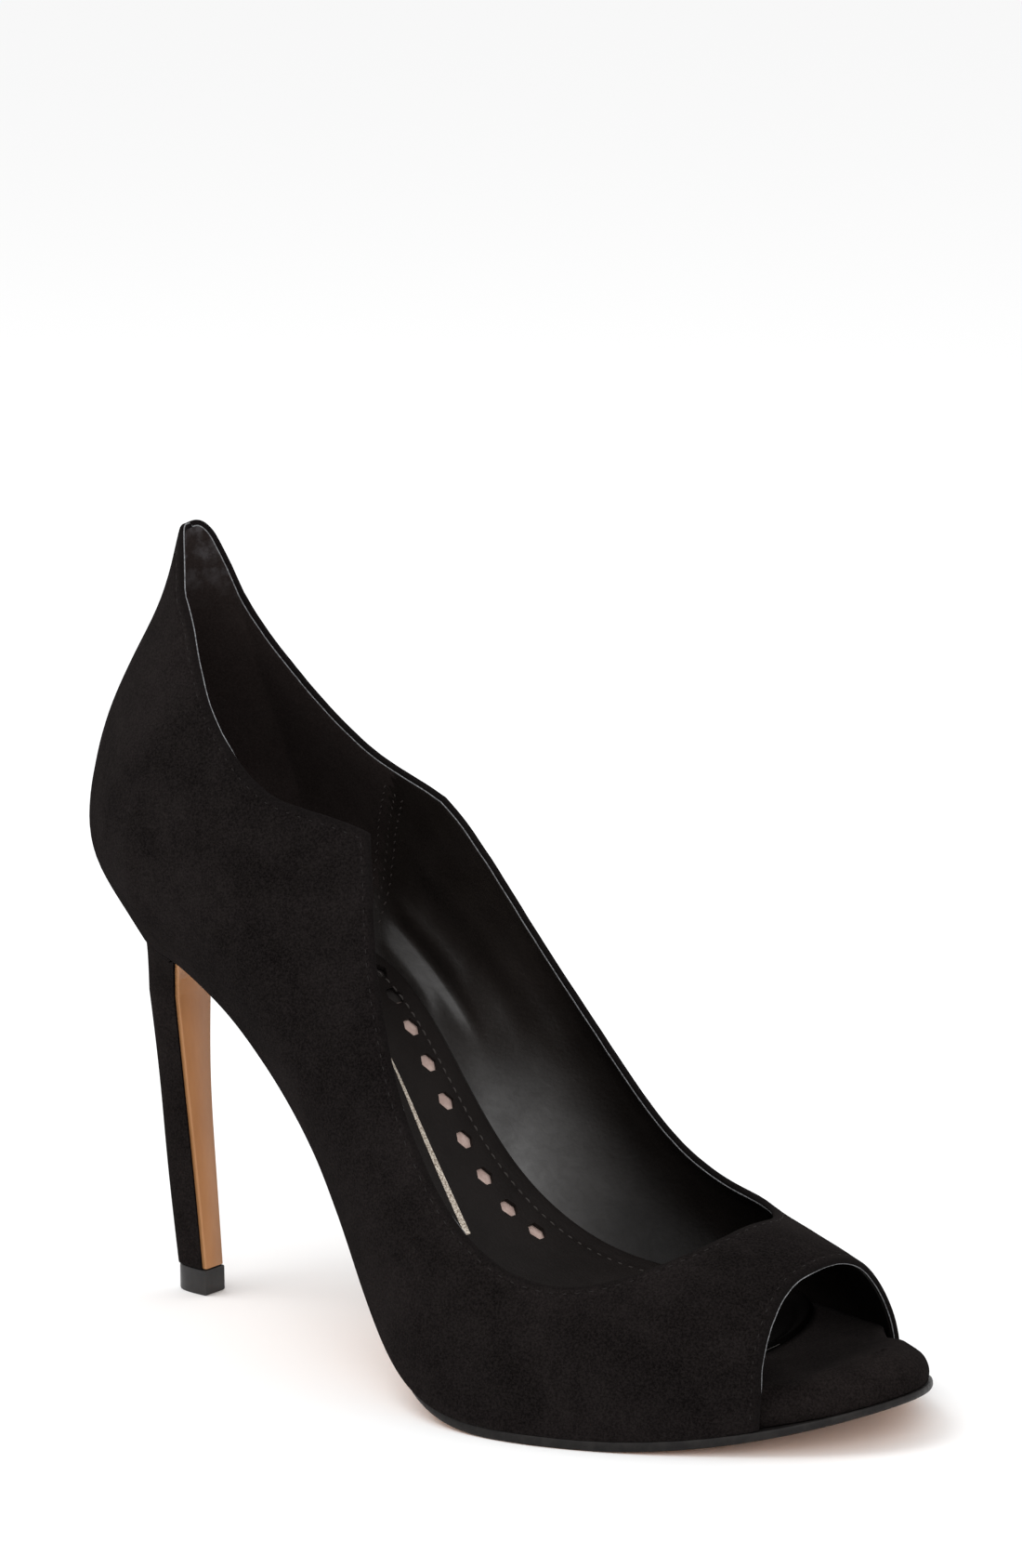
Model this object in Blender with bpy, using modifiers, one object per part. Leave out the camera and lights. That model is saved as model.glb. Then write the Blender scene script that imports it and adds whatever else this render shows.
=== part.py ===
"""Peep toe pump, right foot: a stiletto court shoe with a scooped, pointed collar.

Lengths in the tables are millimetres. X runs from the heel to the toe, Y to the inner side of
the foot and Z up. The origin is the centre of the heel's top piece, where it meets the floor.
"""

import math

import bmesh
import bpy
import numpy as np

MM = 0.001

# Driving dimensions
UPPER_WALL = 1.6
FIT_GAP = 0.35
WALL_GAP = 0.55
BOARD_THICKNESS = 1.4
SOCK_THICKNESS = 1.2
PLATFORM_HEIGHT = 9.5
TOP_PIECE_HEIGHT = 6.0
FLAP_THICKNESS = 1.2
FLAP_INSET = 0.7

# The outline that the upper meets the sole on, seen from above: x and y
FEATHER = (
    ("heel back", -13.4, 0.0),
    ("heel outer", 8.0, -20.5),
    ("waist outer", 57.0, -26.5),
    ("joint outer", 99.5, -46.6),
    ("toe outer", 168.0, -29.0),
    ("toe tip", 195.5, 4.0),
    ("toe inner", 180.0, 28.0),
    ("joint inner", 136.0, 42.0),
    ("waist inner", 75.0, 21.0),
    ("heel inner", 8.0, 20.5),
)

# The last's bottom seen from the side: x and height
BOTTOM_LINE = (
    ("heel back", -14.0, 86.0),
    ("heel centre", 6.0, 83.0),
    ("heel breast", 28.0, 74.0),
    ("waist", 54.0, 49.8),
    ("shank", 76.0, 24.6),
    ("shank foot", 94.0, 9.2),
    ("tread back", 112.0, 2.9),
    ("tread", 128.0, 2.1),
    ("tread front", 150.0, 2.3),
    ("toe", 176.0, 5.8),
    ("toe tip", 198.0, 11.9),
)

# How far the outline stands above the last's bottom, where the heel's seat is cupped
OUTLINE_RISE = (
    (-14.0, 0.2),
    (4.0, 1.1),
    (15.0, 2.5),
    (24.0, 2.6),
    (31.0, 2.5),
    (42.0, 1.8),
    (54.0, 0.9),
    (70.0, 0.0),
    (90.0, 0.0),
    (200.0, 0.0),
)
RISE_FADE = 30.0

# The last's cross-sections at each x. Half-widths are from the middle line, each followed by
# its height above the last's bottom: the widest place and the shoulder on the outer and the
# inner side, and the height at which the section would close over the foot
SECTIONS = (
    # name, x, widest outer, widest inner, shoulder outer, shoulder inner, closed top
    ("heel", 8.0, 30.5, 19.0, 30.5, 19.0, 17.0, 62.0, 17.0, 62.0, 108.0),
    ("waist", 40.0, 31.5, 18.0, 32.0, 18.0, 22.0, 62.0, 22.5, 62.0, 110.0),
    ("instep", 70.0, 36.0, 18.0, 33.5, 36.0, 26.0, 62.0, 29.5, 66.0, 106.0),
    ("joint outer", 104.0, 47.4, 14.0, 42.8, 22.0, 37.5, 44.0, 40.0, 44.0, 66.0),
    ("joint inner", 132.0, 45.8, 12.0, 46.0, 13.0, 37.0, 28.0, 41.3, 28.0, 41.0),
    ("vamp", 155.0, 38.4, 10.0, 38.8, 10.0, 29.2, 27.0, 28.9, 26.5, 38.5),
    ("toe", 178.0, 25.5, 8.0, 28.0, 8.0, 15.5, 23.5, 15.8, 22.8, 29.5),
)
HEEL_AXIS_X = 8.0
# How much fuller the back is than the heel's sides: height above the outline, and the factor
BACK_CURVE = (
    (0.0, 0.88),
    (6.0, 0.89),
    (14.0, 0.95),
    (28.0, 1.0),
    (38.0, 1.06),
    (47.0, 1.15),
    (56.0, 1.2),
    (64.0, 1.17),
    (72.0, 1.07),
    (81.0, 0.98),
    (92.0, 1.0),
    (110.0, 1.0),
)

# The middle line that the half-widths are measured from: x and y
MIDDLE = ((8.0, 0.0), (70.0, 0.0), (132.0, 1.0), (178.0, 2.5))

# The collar on each side, from the back seam round its corner to the throat: length along the
# outline, and how far round the section, from 0 at the sole to 100 at the closed top
COLLAR = {
    "outer": (
        ((0, 84.6), (12, 84.2), (20, 82.2), (28, 78), (35, 71), (43, 60.5), (52, 54.7), (62, 53.8),
         (76, 61.3), (91, 73.3)),
        ((91, 73.3), (95, 66), (99.5, 58.7), (105.6, 54), (112.4, 50.5), (122, 48.6), (130, 46.8),
         (138, 45.1), (146, 43.9), (154, 44.5), (162, 48.2), (170.5, 56), (178, 67.4), (183.5, 83)),
    ),
    "inner": (
        ((0, 84.6), (12, 85.2), (20, 83.2), (28, 77), (35, 66.7), (41, 60.3), (48, 55), (57, 52.3),
         (66, 54), (78.5, 59.2)),
        ((78.5, 59.2), (84, 59.2), (91, 57), (98, 55.2), (106, 54), (114, 52.8), (121, 50.2),
         (128, 46.8), (136, 44.4), (144, 43.5), (152, 45), (160.5, 50.3), (168, 59), (175, 72),
         (181, 87)),
    ),
}
THROAT_X = 154.0

# The edge of the toe opening, from the sole to the middle: x, and how far round the section
TOE_OPENING = {
    "outer": (
        (174.9, 0), (175.3, 22), (174.4, 39), (173.7, 53), (173.2, 66), (173.5, 78), (174.4, 87),
        (175.1, 95),
    ),
    "inner": (
        (171.3, 0), (170.3, 15), (169.8, 27), (170.0, 38), (171.0, 50), (172.9, 64), (174.6, 78),
        (175.2, 87), (175.4, 95),
    ),
}
TOE_OPENING_TOP_X = 175.4

# How the wall's columns are shared out: the back of the collar, its front, and the vamp
COLLAR_BACK_COLUMNS = 15
COLLAR_FRONT_COLUMNS = 26
VAMP_COLUMNS = 8
WALL_ROWS = 12
# The outline's lengths that stand below the collar's corner and below the throat
FOOT_OF_CORNER = {"outer": 86.0, "inner": 80.0}
FOOT_OF_THROAT = {"outer": 193.0, "inner": 189.0}

# The height of the platform's top above the last's bottom, by x
PLATFORM_TOP = (
    (-20.0, 0.0),
    (0.0, 0.0),
    (10.0, 0.2),
    (20.0, 2.2),
    (30.0, 5.8),
    (42.0, 8.8),
    (52.0, 9.3),
    (70.0, 8.0),
    (85.0, 8.2),
    (104.0, 9.3),
    (150.0, 9.5),
    (170.0, 8.7),
    (186.0, 7.7),
    (200.0, 7.6),
)
# The platform's rounded front edge: share of its height, and how far it draws in
PLATFORM_ROUND = ((0.0, 0.2), (0.25, 0.0), (0.5, 0.5), (0.7, 1.6), (0.86, 3.3), (0.96, 5.4), (1.0, 7.6))
PLATFORM_BACK_X = 26.0
PLATFORM_INSET = 0.6
# Ahead of the toe opening's foot, the platform turns from the wall's inside to the outline.
# Its rounding begins a little behind
PLATFORM_TURN = 12.0
PLATFORM_ROUND_START = 4.0
INSOLE_BACK_X = -13.5
BOARD_FRONT_X = 134.0
SOCK_FRONT_X = 158.0
SOCK_FRONT_ROUND = 22.0

# How far the outsole's edge stands out from the outline, by x
OUTSOLE_EDGE = (
    (21.0, -1.2),
    (60.0, -1.6),
    (86.0, -1.9),
    (106.0, -0.6),
    (130.0, 0.3),
    (150.0, 0.6),
    (200.0, 0.2),
)
OUTSOLE_BACK_X = 22.5
# The outsole's thickness, by x
OUTSOLE_THICKNESS = ((20.0, 1.3), (70.0, 1.6), (108.0, 2.0), (160.0, 2.0), (184.0, 1.7), (200.0, 1.3))
# Where the stations begin to close up, round the toe and round the heel
TOE_TURN_X = 185.0
HEEL_TURN_X = 14.0

# The hexagonal cut-outs in the sock lining: x and y along their row
CUTOUT_ROW = ((37.5, 20.3), (50.5, 17.2), (62.5, 14.2), (74.0, 12.4), (80.0, 12.7), (86.3, 15.2))
CUTOUT_COUNT = 9
CUTOUT_WIDTH = 4.7

# The heel's stem: height, the x of its breast and of its back, and its half-width
HEEL_STEM = (
    ("tip", 6.35, 5.0, -5.1, 3.6),
    ("low", 30.0, 3.1, -7.8, 4.05),
    ("middle", 50.0, 1.5, -9.4, 4.75),
    ("neck", 72.0, 0.6, -11.6, 6.4),
)
HEEL_RINGS = (6.35, 20.0, 34.0, 48.0, 60.0, 70.0)
HEEL_FLARE_RINGS = 8
HEEL_SEAT_FRONT_X = 14.0
TOP_PIECE_INSET = 0.3


def spline(xs, ys, closed=False):
    """The cubic spline through the points, as a function. A closed one ends where it starts."""
    xs = np.asarray(xs, float)
    ys = np.asarray(ys, float)
    gaps = np.diff(xs)
    slopes = (np.diff(ys, axis=0).T / gaps).T
    count = len(xs)
    matrix = np.zeros((count, count))
    right = np.zeros_like(ys)
    for i in range(1, count - 1):
        matrix[i, i - 1 : i + 2] = gaps[i - 1], 2 * (gaps[i - 1] + gaps[i]), gaps[i]
        right[i] = 6 * (slopes[i] - slopes[i - 1])
    if closed:
        matrix[0, 0], matrix[0, 1], matrix[0, -2] = 2 * (gaps[-1] + gaps[0]), gaps[0], gaps[-1]
        right[0] = 6 * (slopes[0] - slopes[-1])
        matrix[-1, 0], matrix[-1, -1] = 1, -1
    else:
        matrix[0, 0] = matrix[-1, -1] = 1
    bends = np.linalg.solve(matrix, right)

    def value(x):
        x = np.asarray(x, float)
        i = np.clip(np.searchsorted(xs, x, side="right") - 1, 0, count - 2)
        wide = x.shape + (1,) * (ys.ndim - 1)
        before, after, gap = (v.reshape(wide) for v in (xs[i + 1] - x, x - xs[i], gaps[i]))
        return (
            bends[i] * before**3 / (6 * gap)
            + bends[i + 1] * after**3 / (6 * gap)
            + (ys[i] / gap - bends[i] * gap / 6) * before
            + (ys[i + 1] / gap - bends[i + 1] * gap / 6) * after
        )

    return value


def path(points, closed=False):
    """The spline through points in the plane, by length, and the length at each point."""
    points = np.asarray(points, float)
    if closed:
        points = np.vstack([points, points[:1]])
    along = np.r_[0, np.cumsum(np.linalg.norm(np.diff(points, axis=0), axis=1))]
    return spline(along, points, closed), along


class Side:
    """One side of the feather line, by its length from the back seam to the toe tip."""

    def __init__(self, outline, heel_at, toe_at, sign):
        at = np.linspace(heel_at, toe_at, 1200)
        self.points = outline(np.mod(at, outline.total))
        steps = np.linalg.norm(np.diff(self.points, axis=0), axis=1)
        self.lengths = np.r_[0, np.cumsum(steps)]
        self.length = self.lengths[-1]
        self.sign = sign

    def at(self, s):
        return np.stack([np.interp(s, self.lengths, self.points[:, k]) for k in (0, 1)], -1)

    def s_at_x(self, x):
        return np.interp(x, self.points[:, 0], self.lengths)


def make_sides():
    outline, along = path([(x, y) for _, x, y in FEATHER], closed=True)
    total = along[-1]
    outline.total = total
    at = np.linspace(0, total, 4001)
    x = outline(at)[:, 0]
    heel = at[np.argmin(np.where((at < total / 4) | (at > total * 3 / 4), x, 999))]
    toe = at[np.argmax(x)]
    if heel > total / 2:
        heel -= total
    return {"outer": Side(outline, heel, toe, -1), "inner": Side(outline, heel + total, toe, 1)}


SIDES = make_sides()
bottom_z = spline(*zip(*[(x, z) for _, x, z in BOTTOM_LINE]))
outline_rise = spline(*zip(*OUTLINE_RISE))
middle_y = spline(*zip(*MIDDLE))
back_curve = spline(*zip(*BACK_CURVE))
section_row = spline([row[1] for row in SECTIONS], [row[2:] for row in SECTIONS])


def outline_z(x):
    """The height of the outline, which is the outsole's and the heel seat's top."""
    return bottom_z(x) + np.maximum(outline_rise(x), 0.0)


def section_points(x):
    """The seven points that a section is drawn through: y from the middle line, and height."""
    row = np.moveaxis(section_row(x), -1, 0)
    wide_o, wide_o_z, wide_i, wide_i_z, top_o, top_o_z, top_i, top_i_z, top = row
    outer = SIDES["outer"].at(SIDES["outer"].s_at_x(x))[..., 1] - middle_y(x)
    inner = SIDES["inner"].at(SIDES["inner"].s_at_x(x))[..., 1] - middle_y(x)
    none = np.zeros_like(outer)
    across = (outer, -wide_o, -top_o, none, top_i, wide_i, inner)
    height = (none, wide_o_z, top_o_z, top, top_i_z, wide_i_z, none)
    return np.stack(across, -1), np.stack(height, -1)


def section_table():
    """Every section as y and height, by x and by share: 0 outer sole, 100 top, 200 inner sole."""
    rows = []
    for x in SECTION_XS:
        across, height = section_points(x)
        points = np.stack([across, height], -1)
        knots = np.r_[0, np.cumsum(np.linalg.norm(np.diff(points, axis=0), axis=1))]
        fine = np.linspace(0, knots[-1], 1201)
        curve = spline(knots, points)(fine)
        along = np.r_[0, np.cumsum(np.linalg.norm(np.diff(curve, axis=0), axis=1))]
        top = np.interp(knots[3], fine, along)
        share = np.where(along < top, along / top, 1 + (along - top) / (along[-1] - top)) * 100
        rows.append([np.interp(SECTION_SHARES, share, curve[:, k]) for k in (0, 1)])
    return np.array(rows)


SECTION_XS = np.linspace(HEEL_AXIS_X, 190.0, 365)
SECTION_SHARES = np.linspace(0, 200, 401)
SECTION_TABLE = section_table()


def section_at(x, share):
    """The section at x, as y from the middle line and height above the last's bottom."""
    i = (x - SECTION_XS[0]) / (SECTION_XS[1] - SECTION_XS[0])
    j = share / (SECTION_SHARES[1] - SECTION_SHARES[0])
    i0 = np.clip(i.astype(int), 0, len(SECTION_XS) - 2)
    j0 = np.clip(j.astype(int), 0, len(SECTION_SHARES) - 2)
    i, j = i - i0, j - j0
    out = []
    for k in (0, 1):
        table = SECTION_TABLE[:, k]
        low = table[i0, j0] * (1 - j) + table[i0, j0 + 1] * j
        high = table[i0 + 1, j0] * (1 - j) + table[i0 + 1, j0 + 1] * j
        out.append(low * (1 - i) + high * i)
    return out


def last_point(side, s, share):
    """A point of the upper's outside: s along the outline, share from the sole to the top."""
    s, share = np.broadcast_arrays(np.asarray(s, float), np.asarray(share, float))
    foot = SIDES[side].at(s)
    centre_x = np.clip(foot[..., 0], SECTION_XS[0], SECTION_XS[-1])
    centre_y = middle_y(centre_x)
    around = share if side == "outer" else 200 - share
    y, z = section_at(centre_x, around)
    sole_y, _ = section_at(centre_x, np.full_like(share, 0.0 if side == "outer" else 200.0))
    # Behind the heel's axis, the sections fan out with the outline
    wide = y / sole_y
    fan_x = centre_x + (foot[..., 0] - centre_x) * wide * back_curve(np.clip(z, 0, 110))
    fan_y = centre_y + (foot[..., 1] - centre_y) * wide
    low = outline_z(foot[..., 0]) - bottom_z(foot[..., 0])
    height = z + low * np.clip(1 - z / RISE_FADE, 0, 1)
    return np.stack([fan_x, fan_y, bottom_z(foot[..., 0]) + height], -1)


def last_normal(side, s, share):
    """The outward direction of the upper's outside."""
    s, share = np.broadcast_arrays(np.asarray(s, float), np.asarray(share, float))
    before = np.maximum(s - 0.6, 0.0)
    along = last_point(side, s + 0.6, share) - last_point(side, before, share)
    low = np.clip(share - 0.7, 0, 200)
    up = last_point(side, s, low + 1.4) - last_point(side, s, low)
    normal = np.cross(along, up) * (1 if side == "outer" else -1)
    # The two sides share one direction on the back seam
    normal[..., 1] = np.where(s < 0.01, 0.0, normal[..., 1])
    return normal / np.linalg.norm(normal, axis=-1, keepdims=True)


def inside_point(side, s, height, depth):
    """The point this far in from the upper's outside, at this height above the last's bottom."""
    s, height = np.broadcast_arrays(np.asarray(s, float), np.asarray(height, float))
    share = np.linspace(0, 60, 121)
    points = last_point(side, s[:, None], share) - depth * last_normal(side, s[:, None], share)
    target = bottom_z(SIDES[side].at(s)[:, 0]) + height
    out = np.empty((len(s), 3))
    for i in range(len(s)):
        for k in (0, 1):
            out[i, k] = np.interp(target[i], points[i, :, 2], points[i, :, k])
    out[:, 2] = target
    return out


def run(rows, count, end=None):
    """Evenly spaced points of the curve through rows of length and share."""
    rows = [row for row in rows] + ([end] if end else [])
    curve, along = path(rows)
    return curve(np.linspace(0, along[-1], count))


def wall_grid(side):
    """The upper's side as lengths and shares: columns from heel to toe, rows from sole to edge."""
    line = SIDES[side]
    back_rows, front_rows = COLLAR[side]
    back = run(back_rows, COLLAR_BACK_COLUMNS + 1)
    front = run(front_rows, COLLAR_FRONT_COLUMNS + 1, (line.s_at_x(THROAT_X), 100.0))
    vamp_s = line.s_at_x(np.linspace(THROAT_X, TOE_OPENING_TOP_X, VAMP_COLUMNS + 1))
    vamp = np.stack([vamp_s, np.full_like(vamp_s, 100.0)], -1)
    top = np.vstack([back, front[1:], vamp[1:]])
    sole_end = line.s_at_x(TOE_OPENING[side][0][0])
    stops = (0.0, FOOT_OF_CORNER[side], FOOT_OF_THROAT[side], sole_end)
    counts = (COLLAR_BACK_COLUMNS, COLLAR_FRONT_COLUMNS, VAMP_COLUMNS)
    foot_s = np.concatenate(
        [np.linspace(stops[i], stops[i + 1], counts[i] + 1)[(1 if i else 0):] for i in range(3)]
    )
    foot = np.stack([foot_s, np.zeros_like(foot_s)], -1)
    up = np.linspace(0, 1, WALL_ROWS + 1)[None, :, None] ** 1.3
    grid = foot[:, None] * (1 - up) + top[:, None] * up
    # The last columns bend towards the edge of the toe opening
    opening = [(line.s_at_x(x), share) for x, share in TOE_OPENING[side]]
    edge = run(opening, WALL_ROWS + 1, (line.s_at_x(TOE_OPENING_TOP_X), 100.0))
    bend = np.zeros(len(foot_s))
    bend[-VAMP_COLUMNS - 1 :] = np.linspace(0, 1, VAMP_COLUMNS + 1) ** 1.5
    return grid + bend[:, None, None] * (edge - grid[-1])[None]


def new_mesh(name, points, faces, closed=True):
    """A mesh of points in millimetres. A closed one has its faces turned outwards."""
    mesh = bpy.data.meshes.new(name)
    mesh.from_pydata([tuple(p) for p in np.asarray(points) * MM], [], faces)
    work = bmesh.new()
    work.from_mesh(mesh)
    bmesh.ops.remove_doubles(work, verts=work.verts, dist=0.01 * MM)
    if closed:
        bmesh.ops.recalc_face_normals(work, faces=work.faces)
        if work.calc_volume(signed=True) < 0:
            bmesh.ops.reverse_faces(work, faces=work.faces)
    work.to_mesh(mesh)
    work.free()
    return mesh


def add_part(name, mesh, color, roughness, smooth_angle=35.0):
    """Puts the mesh in the scene as one named part with its own material."""
    part = bpy.data.objects.new(name, mesh)
    PARTS.objects.link(part)
    material = bpy.data.materials.new(name)
    material.use_nodes = True
    shader = material.node_tree.nodes["Principled BSDF"]
    shader.inputs["Base Color"].default_value = (*color, 1.0)
    shader.inputs["Roughness"].default_value = roughness
    mesh.materials.append(material)
    mesh.shade_smooth()
    mesh.set_sharp_from_angle(angle=math.radians(smooth_angle))
    return part


def grid_faces(first, columns, rows, flip=False):
    """Quads of a grid whose points are numbered from first, column by column."""
    faces = []
    for i in range(columns - 1):
        for j in range(rows - 1):
            a = first + i * rows + j
            quad = (a, a + rows, a + rows + 1, a + 1)
            faces.append(quad[::-1] if flip else quad)
    return faces


def strip_faces(one, two):
    """Quads between two lists of point numbers."""
    quads = [(one[i], one[i + 1], two[i + 1], two[i]) for i in range(len(one) - 1)]
    return [tuple(dict.fromkeys(quad)) for quad in quads]


def make_upper():
    """The suede wall: the outside of both sides as one open surface, thickened inwards."""
    points, faces = [], []
    for side in ("outer", "inner"):
        grid = wall_grid(side)
        columns, rows = grid.shape[:2]
        faces += grid_faces(len(points), columns, rows, flip=side == "inner")
        points += list(last_point(side, grid[..., 0], grid[..., 1]).reshape(-1, 3))
    mesh = new_mesh("upper", points, faces, closed=False)
    upper = add_part("upper", mesh, (0.012, 0.011, 0.012), 0.95)
    wall = upper.modifiers.new("wall", "SOLIDIFY")
    wall.thickness = UPPER_WALL * MM
    wall.offset = -1.0
    wall.use_even_offset = True
    return upper


def ladder(name, left, right):
    """A solid between two side walls. Each is stations by levels, the levels from under to top."""
    stations, levels = left.shape[:2]
    points = list(left.reshape(-1, 3)) + list(right.reshape(-1, 3))
    other = stations * levels
    faces = grid_faces(0, stations, levels) + grid_faces(other, stations, levels, flip=True)
    under = [i * levels for i in range(stations)]
    top = [i * levels + levels - 1 for i in range(stations)]
    faces += strip_faces(under, [other + k for k in under])
    faces += strip_faces(top, [other + k for k in top])
    for i in (0, stations - 1):
        rung = [i * levels + k for k in range(levels)]
        faces += strip_faces(rung, [other + k for k in rung])
    return new_mesh(name, points, faces)


def layer(name, start_x, end_x, count, low, high, depth, round_front=0.0):
    """A flat layer that fills the upper from side to side, from height low(x) to high(x)."""
    if round_front:
        flat_count = count // 2
        x = np.linspace(start_x, end_x - round_front, flat_count)
        turn = np.linspace(0, math.pi / 2, count - flat_count + 1)[1:]
        x = np.r_[x, end_x - round_front + round_front * np.sin(turn)]
    else:
        x = np.linspace(start_x, end_x, count)
    if start_x < HEEL_AXIS_X:
        turn = np.linspace(0, 1, 10)[:-1] * SIDES["outer"].s_at_x(HEEL_TURN_X)
        x = np.r_[SIDES["outer"].at(turn)[:, 0], x[x > HEEL_TURN_X + 1.0]]
    walls = []
    for side in ("outer", "inner"):
        s = SIDES[side].s_at_x(x)
        levels = [inside_point(side, s, h(x), depth) for h in (low, high)]
        walls.append(np.stack(levels, 1))
    if round_front:
        reach = np.clip((x - end_x + round_front) / round_front, 0, 1)
        narrow = np.sqrt(1 - reach**2)[:, None]
        middle = (walls[0][..., 1] + walls[1][..., 1]) / 2
        for wall in walls:
            wall[..., 1] = middle + (wall[..., 1] - middle) * narrow
    return ladder(name, walls[0], walls[1])


platform_top = spline(*zip(*PLATFORM_TOP))
outsole_edge = spline(*zip(*OUTSOLE_EDGE))
outsole_thickness = spline(*zip(*OUTSOLE_THICKNESS))


def stack_height(x):
    """The height of the platform's top above the last's bottom."""
    return np.clip(platform_top(x), 0.0, PLATFORM_HEIGHT)


def board_low(x):
    """The board rests in a recess of the platform and, behind it, on the heel's seat."""
    return np.maximum(stack_height(x) - BOARD_THICKNESS, outline_z(x) - bottom_z(x)) + FIT_GAP


def make_board():
    mesh = layer(
        "insole_board", INSOLE_BACK_X, BOARD_FRONT_X, 40, board_low,
        lambda x: board_low(x) + BOARD_THICKNESS, UPPER_WALL + WALL_GAP,
    )
    return add_part("insole_board", mesh, (0.52, 0.38, 0.34), 0.7)


def sock_low(x):
    return board_low(x) + BOARD_THICKNESS + FIT_GAP


def sock_high(x):
    return sock_low(x) + SOCK_THICKNESS


def make_sock():
    mesh = layer(
        "sock_lining", INSOLE_BACK_X, SOCK_FRONT_X, 48, sock_low, sock_high,
        UPPER_WALL + WALL_GAP, SOCK_FRONT_ROUND,
    )
    sock = add_part("sock_lining", mesh, (0.02, 0.019, 0.02), 0.45)
    cut = sock.modifiers.new("cutouts", "BOOLEAN")
    cut.operation = "DIFFERENCE"
    cut.solver = "EXACT"
    cut.object = make_cutouts()
    return sock


def make_cutouts():
    """The hexagonal prisms that cut through the sock lining, square to its surface."""
    curve, along = path(CUTOUT_ROW)
    places = curve(np.linspace(0, along[-1], CUTOUT_COUNT))
    points, faces = [], []
    for x, y in places:
        z = float(bottom_z(x) + (sock_low(x) + sock_high(x)) / 2)
        rise = float(bottom_z(x + 1) + sock_high(x + 1) - bottom_z(x - 1) - sock_high(x - 1)) / 2
        ahead = np.array([1.0, 0.0, rise]) / math.hypot(1.0, rise)
        up = np.array([-ahead[2], 0.0, ahead[0]])
        first = len(points)
        for lift in (-2.0, 2.0):
            for k in range(6):
                turn = math.radians(60 * k + 30)
                radius = CUTOUT_WIDTH / math.sqrt(3)
                spot = np.array([x, y, z]) + radius * math.cos(turn) * ahead + lift * up
                points.append(spot + np.array([0.0, radius * math.sin(turn), 0.0]))
        low = [first + k for k in range(6)]
        high = [first + 6 + k for k in range(6)]
        faces += [low, high] + strip_faces(low + low[:1], high + high[:1])
    cutter = bpy.data.objects.new("cutouts_cutter", new_mesh("cutouts_cutter", points, faces))
    cutter.hide_render = True
    cutter.display_type = "WIRE"
    CUTTERS.objects.link(cutter)
    return cutter


def outline_offset(side, s, out):
    """Points of the outline moved outwards by out."""
    line = SIDES[side]
    ahead = line.at(np.minimum(s + 0.5, line.length)) - line.at(np.maximum(s - 0.5, 0))
    ahead /= np.linalg.norm(ahead, axis=-1, keepdims=True)
    outward = np.stack([-ahead[:, 1], ahead[:, 0]], -1) * line.sign
    # On the tip of the toe both sides point straight ahead
    outward[s > line.length - 0.01] = (1.0, 0.0)
    return line.at(s) + outward * np.asarray(out)[..., None]


def toe_lengths(start_x, count):
    """Stations from start_x to the toe's tip at the same x on both sides, closer at the tip."""
    line = SIDES["outer"]
    s = np.linspace(line.s_at_x(start_x), line.s_at_x(TOE_TURN_X), count)
    tip = line.points[-1, 0]
    turn = np.linspace(0, math.pi / 2, 11)[1:-1]
    x = np.r_[line.at(s)[:, 0], TOE_TURN_X + (tip - TOE_TURN_X) * np.sin(turn), tip]
    return x, {side: np.where(x >= tip, SIDES[side].length, SIDES[side].s_at_x(x)) for side in SIDES}


def make_platform():
    """The filler under the ball of the foot. Behind the toe opening it fills the upper."""
    x, _ = toe_lengths(PLATFORM_BACK_X, 30)
    step = [BOARD_FRONT_X + FIT_GAP, BOARD_FRONT_X + FIT_GAP + 0.3]
    x = np.sort(np.r_[x, step])
    tip = SIDES["outer"].points[-1, 0]
    recess = np.where(x < step[1] - 0.01, BOARD_THICKNESS, 0.0)
    low = outline_z(x) - bottom_z(x)
    thick = np.maximum(stack_height(x) - recess - low, 0.25)
    walls = []
    for side in ("outer", "inner"):
        s = np.where(x >= tip, SIDES[side].length, SIDES[side].s_at_x(x))
        corner = TOE_OPENING[side][0][0] + 0.5
        ahead = np.clip((x - corner) / PLATFORM_TURN, 0, 1)
        ahead = ahead**2 * (3 - 2 * ahead)
        rounded = np.clip((x - corner) / PLATFORM_ROUND_START + 1, 0, 1)
        levels = []
        for share, draw_in in PLATFORM_ROUND:
            height = low + thick * share
            open_xy = outline_offset(side, s, -PLATFORM_INSET - draw_in * rounded)
            closed = inside_point(side, s, height, UPPER_WALL + WALL_GAP)[:, :2]
            closed[:, 1] -= SIDES[side].sign * draw_in * rounded
            xy = closed * (1 - ahead[:, None]) + open_xy * ahead[:, None]
            levels.append(np.c_[xy, bottom_z(x) + height])
        walls.append(np.stack(levels, 1))
    mesh = ladder("platform", walls[0], walls[1])
    return add_part("platform", mesh, (0.014, 0.013, 0.014), 0.95, 50.0)


def make_outsole():
    """The sole, flat on the floor under the ball of the foot."""
    x, lengths = toe_lengths(OUTSOLE_BACK_X, 34)
    top = outline_z(x) - FIT_GAP
    under = np.maximum(top - outsole_thickness(x), 0.0)
    walls = []
    for side in ("outer", "inner"):
        levels = []
        for z, draw_in in ((under, 0.5), (under + 0.5, 0.0), (top, 0.0)):
            xy = outline_offset(side, lengths[side], outsole_edge(x) - draw_in)
            levels.append(np.c_[xy, z])
        walls.append(np.stack(levels, 1))
    mesh = ladder("outsole", walls[0], walls[1])
    return add_part("outsole", mesh, (0.02, 0.018, 0.017), 0.35, 30.0)


stem_row = spline([row[1] for row in HEEL_STEM], [row[2:] for row in HEEL_STEM])
ROUND_POINTS = 20
FRONT_POINTS = 6


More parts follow.
